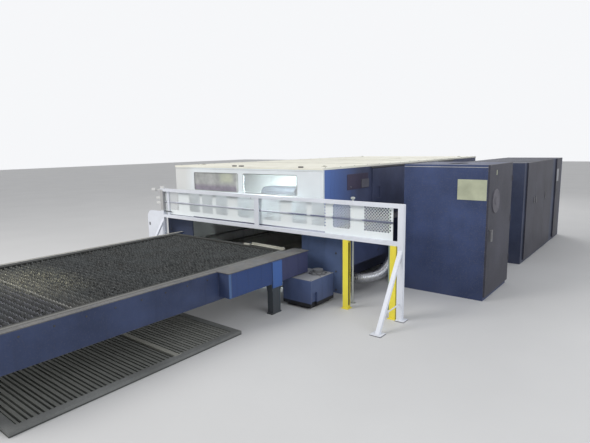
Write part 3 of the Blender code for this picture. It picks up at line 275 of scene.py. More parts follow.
def steel(name, colour, rough=0.45, grain=(60, 3, 60), dust=0.3, rust=0.0, metallic=0.85):
    """Bare steel: brushed one way, stained in clouds, dusty on top, and brown where asked."""
    material, shader, place = finish(name)
    brushed = noise(place, 1, 4, 0.6, grain)
    stain = ranged(noise(place, 3.1, 6, 0.6), 0.45, 0.75, 0, 0.6)
    brown = times(ranged(noise(place, 14, 5, 0.7), 0.5, 0.68), rust)
    drift = times(upward(material.node_tree), ranged(noise(place, 7, 6), 0.35, 0.62))
    drift = times(drift, dust)
    tone = mix(ranged(brushed, 0.3, 0.7), tinted(colour, 0.72), tinted(colour, 1.25))
    tone = layered(tone, [(stain, tinted(colour, 0.5)), (brown, (0.10, 0.052, 0.028)),
                          (drift, DUST)])
    dull = times(drift, brown, "MAXIMUM")
    feed(shader, [("Base Color", tone), ("Normal", bump(brushed, 0.08, 0.002)),
                  ("Metallic", mix(dull, (metallic,) * 3, (0.1,) * 3)),
                  ("Roughness", mix(dull, (rough,) * 3, (0.85,) * 3)),
                  ("Specular IOR Level", 0.3)])
    return material


def columns(*values):
    """Numbers and arrays side by side: places from x, y and z, or faces from their corners."""
    return np.stack(np.broadcast_arrays(*values), -1)


def ring_faces(rings, around):
    """Faces between each ring of points and the next, where points are numbered ring by ring."""
    step = np.arange(rings - 1)[:, None] * around
    along, wrap = np.arange(around), (np.arange(around) + 1) % around
    faces = columns(step + along, step + wrap, step + around + wrap, step + around + along)
    return faces.reshape(-1, 4)


def capped(rings):
    """Rings closed at both ends by the end ring drawn in to its own middle."""
    ends = rings[[0, -1]]
    middle = ends.mean(1, keepdims=True)
    ends = middle + (ends - middle) * DRAWN_IN
    return np.concatenate([ends[:1], rings, ends[1:]])


def copied(points, quads):
    """Like shapes, one a row of points: the faces of one shape, counted on for each row."""
    first = np.arange(len(points))[:, None, None] * points.shape[1]
    return points.reshape(-1, 3), (quads + first).reshape(-1, 4)


def piece(name, points, quads, material, body="machine", smooth=False, rounding=0.0, weld=False):
    """One mesh from rows of shop places and rows of four corner numbers, riding on a body. A weld
    draws the tiny rings at its poles into single points."""
    points, quads = shop(points), np.asarray(quads, np.int32)
    mesh = bpy.data.meshes.new(name)
    mesh.vertices.add(len(points))
    mesh.vertices.foreach_set("co", points.astype(np.float32).ravel())
    mesh.loops.add(quads.size)
    mesh.loops.foreach_set("vertex_index", quads.ravel())
    mesh.polygons.add(len(quads))
    mesh.polygons.foreach_set("loop_start", np.arange(len(quads), dtype=np.int32) * 4)
    mesh.polygons.foreach_set("use_smooth", np.full(len(quads), smooth))
    mesh.update(calc_edges=True)
    if weld:
        shell = bmesh.new()
        shell.from_mesh(mesh)
        bmesh.ops.remove_doubles(shell, verts=shell.verts, dist=POLE)
        shell.to_mesh(mesh)
        shell.free()
    mesh.validate()
    mesh.materials.append(material)
    made = placed(name, mesh)
    if rounding:
        edge = made.modifiers.new("edge", "BEVEL")
        edge.width = rounding
        edge.segments = 2
        edge.limit_method = "ANGLE"
    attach(made, body)
    return made


# How far points are welded, how small a closing ring is, and a face's corners the other way.
POLE, DRAWN_IN, TURNED_BACK = 4e-5, 1e-4, [0, 3, 2, 1]
BLOCK_CORNERS = np.array([(0, 0, 0), (1, 0, 0), (1, 1, 0), (0, 1, 0),
                          (0, 0, 1), (1, 0, 1), (1, 1, 1), (0, 1, 1)], float)
BLOCK_FACES = np.array([(0, 3, 2, 1), (4, 5, 6, 7), (0, 1, 5, 4), (1, 2, 6, 5), (2, 3, 7, 6),
                        (3, 0, 4, 7)])


def plates(name, lows, highs, material, body="machine", rounding=0.0015):
    """Many small plates in one piece: each corner is the low place plus its share of the size."""
    lows, highs = np.atleast_2d(lows).astype(float), np.atleast_2d(highs).astype(float)
    points = lows[:, None] + BLOCK_CORNERS * (highs - lows)[:, None]
    return piece(name, *copied(points, BLOCK_FACES), material, body, rounding=rounding)


def turned_row(name, outline, spots, axis, material, body="machine", around=6):
    """The same turned shape at many spots: each outline point (radius, height) goes round the
    axis, and the ends are closed by rings drawn in to a point."""
    outline = np.array([(POLE / 4, outline[0][1]), *outline, (POLE / 4, outline[-1][1])], float)
    angle = np.arange(around) * 2 * np.pi / around
    ring = columns(outline[:, :1] * np.cos(angle), outline[:, :1] * np.sin(angle), outline[:, 1:])
    order = {"z": (0, 1, 2), "-y": (0, 2, 1), "y": (1, 2, 0), "x": (2, 0, 1), "-x": (2, 1, 0)}
    sign = {"-y": (1, -1, 1), "-x": (-1, 1, 1)}
    ring = ring[..., order[axis]] * np.array(sign.get(axis, (1, 1, 1)))
    points = ring.reshape(-1, 3) + np.atleast_2d(spots).astype(float)[:, None]
    quads = ring_faces(len(outline), around)
    return piece(name, *copied(points, quads), material, body, weld=True)


def screws(name, spots, axis, across=0.019, height=0.008):
    """Hexagon heads on washers: two steps of a turned outline with six sides."""
    r = across / math.sqrt(3)
    outline = [(r * 1.5, -0.0005), (r * 1.5, height * 0.2), (r, height * 0.2), (r, height * 0.85),
               (r * 0.85, height)]
    return turned_row(name, outline, spots, axis, bolt_steel)


def tube(path, radii, around, up=(0, 0, 1)):
    """A tube's points and faces: a circle of each place's radius, square to the path there."""
    path = np.asarray(path, float)
    ahead = np.gradient(path, axis=0)
    ahead /= np.linalg.norm(ahead, axis=1, keepdims=True)
    side = np.cross(ahead, np.array(up, float))
    side /= np.linalg.norm(side, axis=1, keepdims=True)
    rise = np.cross(side, ahead)
    angle = np.arange(around) * 2 * np.pi / around
    radii = np.broadcast_to(np.asarray(radii, float), len(path))[:, None, None]
    rings = capped(path[:, None] + radii * (np.cos(angle)[None, :, None] * side[:, None]
                                            - np.sin(angle)[None, :, None] * rise[:, None]))
    return rings.reshape(-1, 3), ring_faces(len(rings), around)[:, TURNED_BACK]


# Painted light inside the opening: grey on the bed's faces inside the beams, near white deep in
# the bed, and a pale grey tray.
bed_navy = enamel("bed_navy", NAVY, dust=0.8, worn=0.4, grime=0.5, grime_top=0.7, zones=(
    ((0.24, 0.245, 0.24), (("X", -1.40, 1.40, 0.01),)),
    ((0.80, 0.81, 0.80), (("X", -1.40, 1.40, 0.01), ("Y", 0.9, 4.4, 0.7)))))
paint(bed_navy, "bed_left", "bed_right", "bed_cross")
tray_steel = enamel("tray_steel", (0.50, 0.50, 0.48), dust=0.8, worn=0.3, rough=0.8, grime=0.3,
                    dust_colour=(0.46, 0.45, 0.43), speckle=0.8)
paint(tray_steel, "scrap_tray")
portal_navy = enamel("portal_navy", (0.076, 0.113, 0.222), dust=0.6, worn=0.45, zones=(
    ((0.042, 0.056, 0.105), (("X", -2.10, -1.0, 0.1),)),))
paint(portal_navy, "front_plate")
bolt_steel = steel("bolt_steel", (0.10, 0.10, 0.105), 0.4, (60, 60, 60), dust=0.4, rust=0.2)
plate_bolts = [(x, 0, z) for x in np.linspace(-1.93, 1.93, 9) for z in (0.17, 1.01)]
plate_bolts += [(side * 1.93, 0, z) for side in (-1, 1) for z in (0.45, 0.73)]
screws("plate_screws", plate_bolts, "-y")
bed_bolts = np.array([(BED_SIDE, y, z) for y in np.arange(0.30, 6.9, 0.82) for z in (0.60, 0.96)])
screws("bed_screws_right", bed_bolts, "x")
screws("bed_screws_left", bed_bolts * (-1, 1, 1), "-x")
cross_bolts = [(x, BED_BACK, z) for x in (-1.90, -1.66, 1.66, 1.90) for z in (0.55, 0.80, 1.00)]
screws("cross_screws", cross_bolts, "y")
seam_navy = enamel("seam_navy", (0.012, 0.017, 0.045), dust=0.5, worn=0.5)
rib_y = np.array([1.44, 3.36, 5.28])
plates("bed_ribs", columns(BED_SIDE, rib_y - 0.004, 0.50),
       columns(BED_SIDE + 0.0032, rib_y + 0.004, 1.045), seam_navy, rounding=0.001)

# The shuttle table's welded blue beams and tie: the same navy paint, a brighter blue on the wide
# end's outer face by the machine, with a painted highlight down its front corner and painted
# light on the stiffener band, and a dusty grey wear plate laid on top.
wide_end = ("X", 1.560, 1.64)
# Wide end's outer face: a brighter blue, a painted highlight on the front corner, painted light on
# the stiffener band, and a lighter navy behind it.
table_blue = enamel("table_blue", (0.040, 0.058, 0.128), dust=0.7, worn=0.6, grime=0.45, zones=(
    ((0.036, 0.070, 0.205), (wide_end, ("Y", -1.795, -1.04))),
    ((0.085, 0.155, 0.33), (wide_end, ("Y", -1.85, -1.805))),
    ((0.068, 0.150, 0.42), (wide_end, ("Y", -1.035, -0.835))),
    ((0.060, 0.068, 0.150), (wide_end, ("Y", -0.83, 0.1)))))
paint(table_blue, "near_beam")
far_blue = enamel("far_blue", (0.040, 0.058, 0.128), dust=1.0, worn=0.6, grime=0.45,
                  dust_colour=(0.30, 0.295, 0.265))
paint(far_blue, "far_beam")
far_strip = steel("far_strip", (0.36, 0.36, 0.33), 0.6, (8, 60, 60), dust=0.2, metallic=0.2)
plates("far_top_strip", (-1.375, end_of("far_beam", "y", 0), 0.7695),
       (-1.295, end_of("far_beam", "y", 1), 0.7715), far_strip, rounding=0.0005)
wear_plate = steel("wear_plate", (0.150, 0.152, 0.158), 0.65, (8, 60, 60), dust=0.6, rust=0.15,
                   metallic=0.3)
paint(wear_plate, "near_top_strip")
beam_spots = [(1.3753, y, 0.70) for y in np.arange(-4.5, -1.95, 0.31)]
screws("beam_screws", beam_spots, "x", 0.013, 0.005)
paint(enamel("leg_paint", (0.068, 0.082, 0.098), dust=0.6, worn=0.4, rough=0.6, grime=0.6),
      "front_stand", "leg_near_rear", "leg_far_rear")

# The pallets' steel rails and flanged wheels: brushed steel, dusty on top, the rails brown in
# patches.
paint(steel("rail_steel", (0.20, 0.20, 0.20), 0.35, (60, 2, 60), dust=0.35, rust=0.15),
      "upper_rail_near", "upper_rail_far", "lower_rail_near", "lower_rail_far")
paint(steel("wheel_steel", (0.26, 0.26, 0.27), 0.3, (80, 80, 80), dust=0.1),
      *(name for name in nodes if "_wheel_" in name))

# The pallets: flat frames of worn tube with loose saw-toothed slats standing across them. The
# slats are burnt, bent and crusted with slag, and one band of them is dusted pale.
SLATS, SLAT_STEP, SLAT_FIRST = 57, 0.07, -4.44
SLAT_HALF, SLAT_THICK, SLAT_DEEP = 1.2003, 0.006, 0.085
TOOTH, TOOTH_DEEP = 0.0706, 0.019
FRAME_IN, FRAME_OUT, FRAME_HIGH = 1.20, 1.28, 0.10
PALLET_FRONT, PALLET_BACK = -4.58, -0.38


def burnt_steel(name, band_front, band_back):
    """Slat steel: nearly black, mottled grey-green with dross. In front of the band the newer
    slats have paler worn tips, and over the band itself they are flecked with white powder."""
    material, shader, place = finish(name)
    grain = noise(place, 34, 5, 0.7)
    height = part_of(place, "Z")
    newer = times(ranged(height, 0.70, 0.755), within(place, "Y", -9, band_front, 0.02))
    edge = within(place, "Y", band_front + 0.01, band_front + 0.03)
    band = within(place, "Y", band_front, band_back, 0.06)
    powder = times(within(place, "Y", band_front - 0.10, band_back + 0.30, 0.16),
                   within(place, "X", -1.0, 0.35, 0.40))
    tone = mix(ranged(grain, 0.38, 0.66), (0.030, 0.033, 0.035), (0.165, 0.172, 0.172))
    tone = layered(tone, [
        (ranged(noise(place, 2.4, 5, 0.6), 0.45, 0.68, 0, 0.55), (0.118, 0.130, 0.136)),
        (times(newer, ranged(noise(place, 9, 4, 0.6), 0.3, 0.6)), (0.150, 0.152, 0.172)),
        (times(ranged(height, 0.75, 0.768), ranged(noise(place, 26, 4, 0.6), 0.50, 0.66, 0, 0.7)),
         (0.19, 0.20, 0.185)),
        (times(edge, ranged(height, 0.735, 0.755)), (0.36, 0.36, 0.34)),
        (times(band, ranged(noise(place, 12, 4, 0.6), 0.35, 0.65, 0, 0.75)), (0.20, 0.20, 0.19)),
        (times(powder, ranged(noise(place, 60, 3, 0.75), 0.53, 0.62)), (0.66, 0.64, 0.48)),
        (ranged(noise(place, 6.5, 5, 0.65), 0.58, 0.75, 0, 0.4), (0.060, 0.036, 0.022))])
    feed(shader, [("Base Color", tone), ("Normal", bump(grain, 0.5, 0.004)), ("Metallic", 0.25),
                  ("Roughness", ranged(grain, 0.3, 0.7, 0.55, 0.9)), ("Specular IOR Level", 0.25)])
    return material


def toothed_slats(name, top, material, body, seed):
    """Thin upright plates. The top edge falls from each tooth's tip to the notch beside it as
    the distance to the nearest tip, less a seeded bite, and each plate bows as a slow sine."""
    luck = np.random.default_rng(seed)
    steps = int(round(2 * SLAT_HALF / TOOTH)) * 4
    x = np.linspace(-SLAT_HALF, SLAT_HALF, steps + 1)
    away = np.abs((x[None] / TOOTH + luck.uniform(0, 1, (SLATS, 1))) % 1 - 0.5) * 2
    bite = luck.uniform(0, 1, (SLATS, steps + 1)) ** 3 * 0.010
    bite[:, ::2] *= 0.5
    drop = away * TOOTH_DEEP + bite + luck.uniform(0.0004, 0.007, (SLATS, 1))
    drop[:, [0, -1]] = np.maximum(drop[:, [0, -1]], 0.012)
    bow = luck.uniform(-1, 1, (SLATS, 1)) * 0.006 * np.sin(
        x[None] * luck.uniform(1.5, 3.2, (SLATS, 1)) + luck.uniform(0, 6, (SLATS, 1)))
    bow *= np.cos(x / SLAT_HALF * np.pi / 2)[None]
    middle = (SLAT_FIRST + SLAT_STEP * np.arange(SLATS))[:, None] + bow
    thick = SLAT_THICK / 2
    rows = [columns(x, middle + lean, top - drop * high - SLAT_DEEP * (1 - high))
            for lean, high in ((-thick, 0), (thick, 0), (thick, 1), (-thick, 1))]
    last = steps * 4
    quads = np.concatenate([ring_faces(steps + 1, 4)[:, TURNED_BACK],
                            [(0, 1, 2, 3), (last + 3, last + 2, last + 1, last)]])
    points = np.stack(rows, 2).reshape(SLATS, -1, 3)
    return piece(name, *copied(points, quads), material, body)


def slag(name, top, material, body, seed, lumps):
    """Dross hanging on the slats: lumps of three rings, each ring pushed in and out by chance."""
    luck = np.random.default_rng(seed)
    slat = luck.integers(0, SLATS, lumps)
    spots = columns(luck.uniform(-1.15, 1.15, lumps), SLAT_FIRST + SLAT_STEP * slat,
                    top - luck.uniform(0.016, 0.032, lumps))
    size = luck.uniform(0.005, 0.013, (lumps, 1, 1))
    angle = np.arange(6) * np.pi / 3
    rows = [(0.0, -1.0), (0.8, -0.55), (1.0, 0.1), (0.6, 0.7), (0.0, 0.9)]
    ring = np.stack([columns(r * np.cos(angle), r * np.sin(angle), h) for r, h in rows])
    shape = ring.reshape(-1, 3) * luck.uniform(0.7, 1.3, (lumps, 30, 1))
    shape[:, :6] = ring[0] * 0.9
    shape[:, -6:] = ring[-1] * 0.9
    points = spots[:, None] + shape * size * (1.6, 0.9, 1.0)
    quads = ring_faces(len(rows), 6)
    return piece(name, *copied(points, quads), material, body, smooth=True, weld=True)


pallet_bar = enamel("pallet_bar", (0.040, 0.042, 0.040), dust=0.1, worn=0.5, rough=0.65,
                    grime=0.1, speckle=0.8, zones=(
    ((0.17, 0.17, 0.165), (("X", 1.235, 1.4),)),))
slat_steel = burnt_steel("slat_steel", -3.62, -3.30)
for level, top, seed in (("upper", 0.77, 3), ("lower", 0.5847, 8)):
    low = top - FRAME_HIGH
    body = level + "_pallet"
    lows = [(-FRAME_OUT, PALLET_FRONT, low), (FRAME_IN, PALLET_FRONT, low),
            (-FRAME_IN, PALLET_FRONT, low), (-FRAME_IN, PALLET_BACK - 0.08, low)]
    highs = [(-FRAME_IN, PALLET_BACK, top - 0.0005), (FRAME_OUT, PALLET_BACK, top - 0.0005),
             (FRAME_IN, PALLET_FRONT + 0.08, top - 0.0005), (FRAME_IN, PALLET_BACK, top - 0.0005)]
    for side in (-1, 1):
        for y in (-4.20, -0.76):
            near, far = sorted((side * FRAME_IN, side * (FRAME_IN + 0.012)))
            lows.append((near, y - 0.025, top - 0.1303 - 0.012))
            highs.append((far, y + 0.025, low + 0.001))
    bars = plates(level + "_frame", lows, highs, pallet_bar, body, rounding=0.004)
    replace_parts(bars, body)
    toothed_slats(level + "_slats", top, slat_steel, body, seed)
    slag(level + "_slag", top, slat_steel, body, seed + 1, 420)
    welds = [(side * 1.188, SLAT_FIRST + SLAT_STEP * index, top - 0.045)
             for side in (-1, 1) for index in range(SLATS)]
    plates(level + "_slat_seats", np.array(welds) - (0.011, 0.010, 0.030),
           np.array(welds) + (0.011, 0.010, 0.012), pallet_bar, body, rounding=0.001)


# The strip at the back of the upper pallet: two offcuts of folded cream sheet left on its bar.
def folded(name, path, profile, material, body):
    """A closed profile (across, up) carried along a path, square to it on the level; both ends
    are closed by rings drawn in to the profile's middle."""
    path, profile = np.asarray(path, float), np.asarray(profile, float)
    ahead = np.gradient(path, axis=0) * (1, 1, 0)
    ahead /= np.linalg.norm(ahead, axis=1, keepdims=True)
    right = columns(ahead[:, 1], -ahead[:, 0], 0.0)
    rings = capped(path[:, None] + profile[None, :, :1] * right[:, None]
                   + profile[None, :, 1:] * np.array((0, 0, 1.0)))
    quads = ring_faces(len(rings), len(profile))[:, TURNED_BACK]
    return piece(name, rings.reshape(-1, 3), quads, material, body, rounding=0.001, weld=True)


cream_sheet = enamel("cream_sheet", (0.34, 0.335, 0.285), worn=0.3, grime=0.3,
                     dust_colour=(0.40, 0.38, 0.31), speckle=0.12)
run = np.linspace(0, 1, 9)
strip_path = columns(0.615 + 0.66 * run, -0.415 + 0.012 * np.sin(run * 3),
                     0.7735 + 0.012 * (1 - run) ** 2)
strip_profile = [(-0.028, 0.0), (0.028, 0.0), (0.028, 0.004), (-0.006, 0.006), (-0.010, 0.030),
                 (-0.028, 0.030)]
folded("rear_strip", strip_path, strip_profile[::-1], cream_sheet, "upper_pallet")
short_path = columns(0.46 + 0.13 * run, -0.42, 0.772)
folded("rear_offcut", short_path, [(-0.022, 0), (-0.022, 0.020), (0.010, 0.024), (0.022, 0)],
       cream_sheet, "upper_pallet")

# The floor grate: flat bars welded over a shallow dark tray, with a thinner one between each two,
# all brown-grey with fallen scale. The end by the machine is painted lighter and the band over
# the cross bar paler still, as painted light.
# Painted light: the second zone lightens the end by the machine, the third the cross bar's band.
grate_steel = enamel("grate_steel", (0.185, 0.191, 0.188), dust=0.12, worn=0.4, rough=0.75,
                     grime=0.0, dust_colour=(0.10, 0.098, 0.088), speckle=0.6, zones=(
    ((0.180, 0.186, 0.172), (("X", -1.60, 1.60, 0.01), ("Y", -4.37, -1.87))),
    ((0.27, 0.275, 0.255), (("X", -1.60, 1.60, 0.01), ("Y", -2.66, -1.87))),
    ((0.36, 0.36, 0.32), (("X", -1.62, 1.62, 0.01), ("Y", -2.745, -2.655))),
    ((0.066, 0.071, 0.068), (("Z", -0.01, 0.014, 0.004),))))
paint(grate_steel, "floor_grate")
GRATE_STEP, FLAT_FIRST, FLAT_BY_CROSS, FLAT_HALF = 0.098, -4.34485, -2.62985, 0.011
flat_y = FLAT_FIRST + GRATE_STEP * np.delete(np.arange(26), 17)
flat_y = np.append(flat_y, FLAT_BY_CROSS)
plates("grate_flats", columns(-1.6005, flat_y - FLAT_HALF, 0.0145),
       columns(1.6005, flat_y + FLAT_HALF, 0.0365), grate_steel, rounding=0.001)

# The shuttle drive: a navy sheet housing with a dusty lid, and the geared motor's stepped flange
# on it, held by screws. Its foot is painted near black, as painted shade under the housing.
# Painted shade: near black below 88 mm.
drive_navy = enamel("drive_navy", (0.098, 0.140, 0.29), dust=0.95, worn=0.5, grime=0.5,
                    dust_colour=(0.36, 0.365, 0.385), zones=(
    ((0.008, 0.009, 0.012), (("Z", -0.01, 0.088),)),
    ((0.36, 0.37, 0.385), (("Z", 0.425, 0.44, 0.002),))))
paint(drive_navy, "drive_housing")
motor_grey = enamel("motor_grey", (0.16, 0.165, 0.175), dust=0.7, worn=0.4, speckle=0.2,
                    dust_colour=(0.33, 0.335, 0.35))
paint(motor_grey, "drive_motor")
MOTOR_X, MOTOR_Y = 1.72, -0.17
LID_TOP = end_of("drive_housing", "z", 1)
octagon = [(0.128, 0.0005), (0.130, 0.004), (0.130, 0.012), (0.118, 0.018), (0.118, 0.024),
           (0.104, 0.0255)]
turned_row("motor_flange_ring", octagon, (MOTOR_X, MOTOR_Y, LID_TOP), "z", motor_grey, around=8)
flange_angles = np.arange(8) * np.pi / 4 + np.pi / 8
flange_spots = columns(MOTOR_X + 0.108 * np.cos(flange_angles),
                       MOTOR_Y + 0.108 * np.sin(flange_angles), LID_TOP + 0.0235)
screws("flange_screws", flange_spots, "z", 0.013, 0.006)
lid_spots = [(x, y, LID_TOP + SEAT) for x in (1.40, 1.86) for y in (-0.54, -0.31, -0.03)]
screws("lid_screws", lid_spots, "z", 0.012, 0.005)

# The cutting room's cover: white front, cream roof, navy sides, and round-cornered windows held
# in grey rubber, with the long lamp behind them. The left pane is nearly opaque, with painted
# light and shade of the room behind it; the right one is clear.
COVER_SIDE = end_of("cover_right", "x", 1) + SEAT
COVER_BACK = end_of("cover_rear", "y", 1) + SEAT
ROOF_TOP = end_of("roof", "z", 1)
PANEL_THICK = 0.0062
WHITE = (0.84, 0.89, 0.92)
cover_white = enamel("cover_white", WHITE, dust=0.25, worn=0.15, grime=0.04,
                     dust_colour=(0.62, 0.60, 0.53), speckle=0.06, cloudy=(0.93, 1.04), zones=(
    ((0.74, 0.75, 0.74), (("X", -2.0, -1.30, 0.15),)),))
paint(cover_white, "cover_front")
roof_cream = enamel("roof_cream", (0.95, 0.93, 0.82), dust=0.35, worn=0.15, grime=0.05,
                    dust_colour=(0.66, 0.63, 0.54), speckle=0.08, cloudy=(0.93, 1.04))
paint(roof_cream, "roof")
# Painted light: the front part of the right wall is a brighter navy.
cover_navy = enamel("cover_navy", (0.076, 0.091, 0.167), dust=0.7, worn=0.3, grime=0.25,
                    grime_top=0.0, zones=(
    ((0.118, 0.205, 0.51), (("X", 1.0, 2.0), ("Y", -1.0, 0.55, 0.45))),))
paint(cover_navy, "cover_left", "cover_right", "cover_rear", "side_door")


def pane(name, colour, alpha, zones=()):
    """Clear plastic: a thin tint over what lies behind, smudged, with a hard shine. A zone is a
    colour and the bands of places where it is painted on the pane, as painted light and shade of
    what lies behind."""
    material, shader, place = finish(name)
    smudge = noise(place, 9, 5)
    tone = mix(smudge, tinted(colour, 0.9), tinted(colour, 1.15, most=0.9))
    film = ranged(smudge, 0.3, 0.8, alpha * 0.85, min(1.0, alpha * 1.2))
    feed(shader, [("Base Color", zoned(place, tone, zones)), ("Alpha", film), ("Roughness", 0.06)])
    return material


# Painted light and shade of the room behind the left pane: a bright yellow-green block, a darker
# mauve band low down and a pale strip at its right end.
left_pane = pane("left_pane", (0.50, 0.51, 0.50), 0.82, (
    ((0.64, 0.67, 0.55), (("X", -0.50, -0.20, 0.05), ("Z", 1.70, 1.90, 0.03))),
    ((0.36, 0.33, 0.39), (("Z", 1.50, 1.64, 0.03),)),
    ((0.74, 0.78, 0.76), (("X", -0.105, 0.1, 0.02),))))
right_pane = pane("right_pane", (0.84, 0.90, 0.90), 0.24)
paint(left_pane, "window_left")
paint(right_pane, "window_right")


def rounded_loop(low_x, high_x, low_z, high_z, corner):
    """Points round a rectangle whose corners are quarter circles, from its right side up."""
    turn = np.linspace(0, np.pi / 2, 5)
    arcs = []
    for quarter, (x, z) in enumerate(((high_x - corner, high_z - corner),
                                      (low_x + corner, high_z - corner),
                                      (low_x + corner, low_z + corner),
                                      (high_x - corner, low_z + corner))):
        angle = turn + quarter * np.pi / 2
        arcs.append(columns(x + corner * np.cos(angle), z + corner * np.sin(angle)))
    return np.concatenate(arcs)


def gasket(name, window, grow, depth, material):
    """A rubber channel round a window: a rectangle of the given growth and depth, carried round
    the rounded outline and closed on itself."""
    rings = [rounded_loop(window[0] - g, window[1] + g, window[2] - g, window[3] + g,
                          max(0.004, window[4] + g)) for g in (-grow[0], grow[1])]
    inner, outer = rings
    rows = [(outer, depth[1]), (outer, depth[0]), (inner, depth[0]), (inner, depth[1])]
    points = np.concatenate([columns(ring[:, 0], y, ring[:, 1]) for ring, y in rows])
    quads = ring_faces(len(rows) + 1, len(inner)) % len(points)
    return piece(name, points, quads, material, rounding=0.001)


rubber = enamel("rubber", (0.020, 0.020, 0.022), worn=0.0, rough=0.7, speckle=0.2)
seal_grey = enamel("seal_grey", (0.40, 0.41, 0.41), worn=0.0, rough=0.7, speckle=0.2)
WINDOWS = {"left": (-1.180, -0.055, 1.545, 1.862, 0.025),
           "right": (0.065, 1.217, 1.545, 1.862, 0.025)}
for side, window in WINDOWS.items():
    gasket(side + "_gasket", window, (0.006, 0.005), (-0.0032, 0.0), seal_grey)
paint(enamel("lamp_body", (0.6, 0.6, 0.6), dust=0.2, worn=0.1), "work_lamp")
glow, glow_shader, glow_place = finish("lamp_glow")
glow_tone = mix(noise(glow_place, 6, 3), (0.82, 0.97, 1.0), (0.95, 1, 1))
feed(glow_shader, [("Base Color", glow_tone), ("Emission Color", glow_tone),
                   ("Emission Strength", 78.0)])
plates("lamp_diffuser", (0.215, 0.098, 1.884), (1.385, 0.182, 1.8898), glow, rounding=0.002)
bracket_grey = enamel("bracket_grey", (0.05, 0.05, 0.052), worn=0.4)
plates("roof_brackets", columns((-0.19, -0.03, 1.24), 0.004, ROOF_TOP - 0.0002),
       columns((-0.12, 0.05, 1.31), 0.050, ROOF_TOP + 0.0185), bracket_grey)
plates("front_seams", columns(-1.70, (-0.0018, -0.0012), (1.925, 1.492)),
       columns(1.70, 0.0, (1.9275, 1.494)),
       enamel("seam_grey", (0.25, 0.25, 0.25), dust=0.1, worn=0.1), rounding=0)
front_screws = [(x, 0, z) for x in np.linspace(-1.62, 1.62, 8) for z in (1.10, 1.46)]
screws("cover_screws", front_screws, "-y", 0.010, 0.004)
track_steel = steel("track_steel", (0.16, 0.16, 0.165), 0.4, (60, 2, 60), dust=0.4)
track_faces = COVER_SIDE + np.array((0.0262, 0.0197))
plates("door_tracks", columns(COVER_SIDE, 1.42, (1.921, 1.052)),
       columns(track_faces, 5.30, (1.943, 1.066)), track_steel)
rust_brown = enamel("rust_brown", (0.070, 0.060, 0.100), speckle=0.5)
plates("wall_panel", (COVER_SIDE, 0.66, 1.60), (COVER_SIDE + 0.0057, 1.33, 1.85), rust_brown)
switch_grey = enamel("switch_grey", (0.14, 0.14, 0.17))
plates("wall_box", (COVER_SIDE + 0.0062, 1.09, 1.61), (COVER_SIDE + 0.0207, 1.33, 1.75),
       switch_grey, rounding=0.003)
turned_row("wall_knob", [(0.016, 0), (0.016, 0.0117), (0.012, 0.0167)],
           (COVER_SIDE, 0.763, 1.646), "x", switch_grey, around=16)

# The outside that faces away from the table: seams, screwed service panels, air fins and a lid
# on the roof, all of the same sprayed sheet as the wall they close.
seam_cream = enamel("seam_cream", (0.50, 0.49, 0.43), worn=0.1, cloudy=(0.9, 1.05))
roof_y = np.array([1.75, 3.50, 5.25])
plates("roof_seams", columns(-1.70, roof_y - 0.004, ROOF_TOP),
       columns(1.70, roof_y + 0.004, ROOF_TOP + 0.0028), seam_cream)
plates("roof_lid", (-0.62, 4.00, ROOF_TOP), (0.62, 4.86, ROOF_TOP + 0.008), roof_cream,
       rounding=0.003)
roof_eyes = [(x, y, ROOF_TOP) for x in (-1.42, 1.42) for y in (0.45, 6.55)]
turned_row("roof_eyes", [(0.045, 0.0), (0.045, 0.006), (0.024, 0.007), (0.022, 0.013),
                         (0.015, 0.016)], roof_eyes, "z", seam_cream, around=20)
roof_screws = [(x, y, ROOF_TOP) for x in (-1.67, 1.67) for y in np.arange(0.12, 6.95, 0.42)]
screws("roof_screws", roof_screws, "z", 0.012, 0.005)
wall_y = np.array([0.18, 1.86, 3.54, 5.22])
panel_face = COVER_SIDE + PANEL_THICK
plates("left_panels", columns(-panel_face, wall_y, 1.10),
       columns(-COVER_SIDE, wall_y + 1.56, 1.90), cover_navy, rounding=0.002)
panel_screws = [(-panel_face, y + dy, z) for y in wall_y for dy in (0.04, 0.78, 1.52)
                for z in (1.13, 1.87)]
screws("left_panel_screws", panel_screws, "-x", 0.011, 0.004)
plates("left_panel_pulls", columns(-panel_face - 0.0125, wall_y + 0.72, 1.30),
       columns(-panel_face, wall_y + 0.84, 1.325), seam_navy, rounding=0.004)
rear_face = COVER_BACK + PANEL_THICK
plates("rear_panels", columns((-1.60, 0.06), COVER_BACK, 1.12),
       columns((-0.06, 1.60), rear_face, 1.90), cover_navy, rounding=0.002)
fin_z = np.linspace(1.20, 1.82, 24)
plates("rear_fins", columns(-1.30, rear_face, fin_z),
       columns(-0.36, rear_face + 0.007, fin_z + 0.012), seam_navy, rounding=0.002)

# The gantry: a grey bridge on ground guide rails, the carriage's dark blue hood and the head,
# with a pale light-proof screen that the bridge carries behind it.
paint(enamel("bridge_paint", (0.36, 0.36, 0.36), dust=0.4), "bridge", "cutting_head")
paint(enamel("hood_paint", (0.012, 0.020, 0.036), dust=0.0, worn=0.1, rough=0.4, shine=0.2),
      "carriage")
paint(steel("guide_steel", (0.42, 0.42, 0.42), 0.2, (60, 2, 60), dust=0.05),
      "guide_rail_left", "guide_rail_right")
paint(steel("nozzle_brass", (0.55, 0.36, 0.14), 0.25, (60, 60, 60), dust=0.0), "nozzle")
# Painted shade and light on the screen: grey left of -0.72 m as painted shade away from the lamp,
# with a yellow-green block and a mauve band painted in for the view through the left window.
screen_paint = enamel("screen_paint", (0.86, 0.92, 0.92), dust=0.0, worn=0.1, grime=0.1,
                      speckle=0.06, cloudy=(0.92, 1.05), zones=(
    ((0.50, 0.51, 0.50), (("X", -1.6, -0.72, 0.03),)),
    ((0.66, 0.70, 0.42), (("X", -1.10, -0.88, 0.02), ("Z", 1.66, 1.90))),
    ((0.34, 0.25, 0.33), (("X", -1.6, -0.84, 0.02), ("Z", 1.30, 1.585))))
    )
plates("bridge_screen", (-1.44, 0.7003, 1.38), (1.44, 0.7035, 1.88), screen_paint, "bridge")
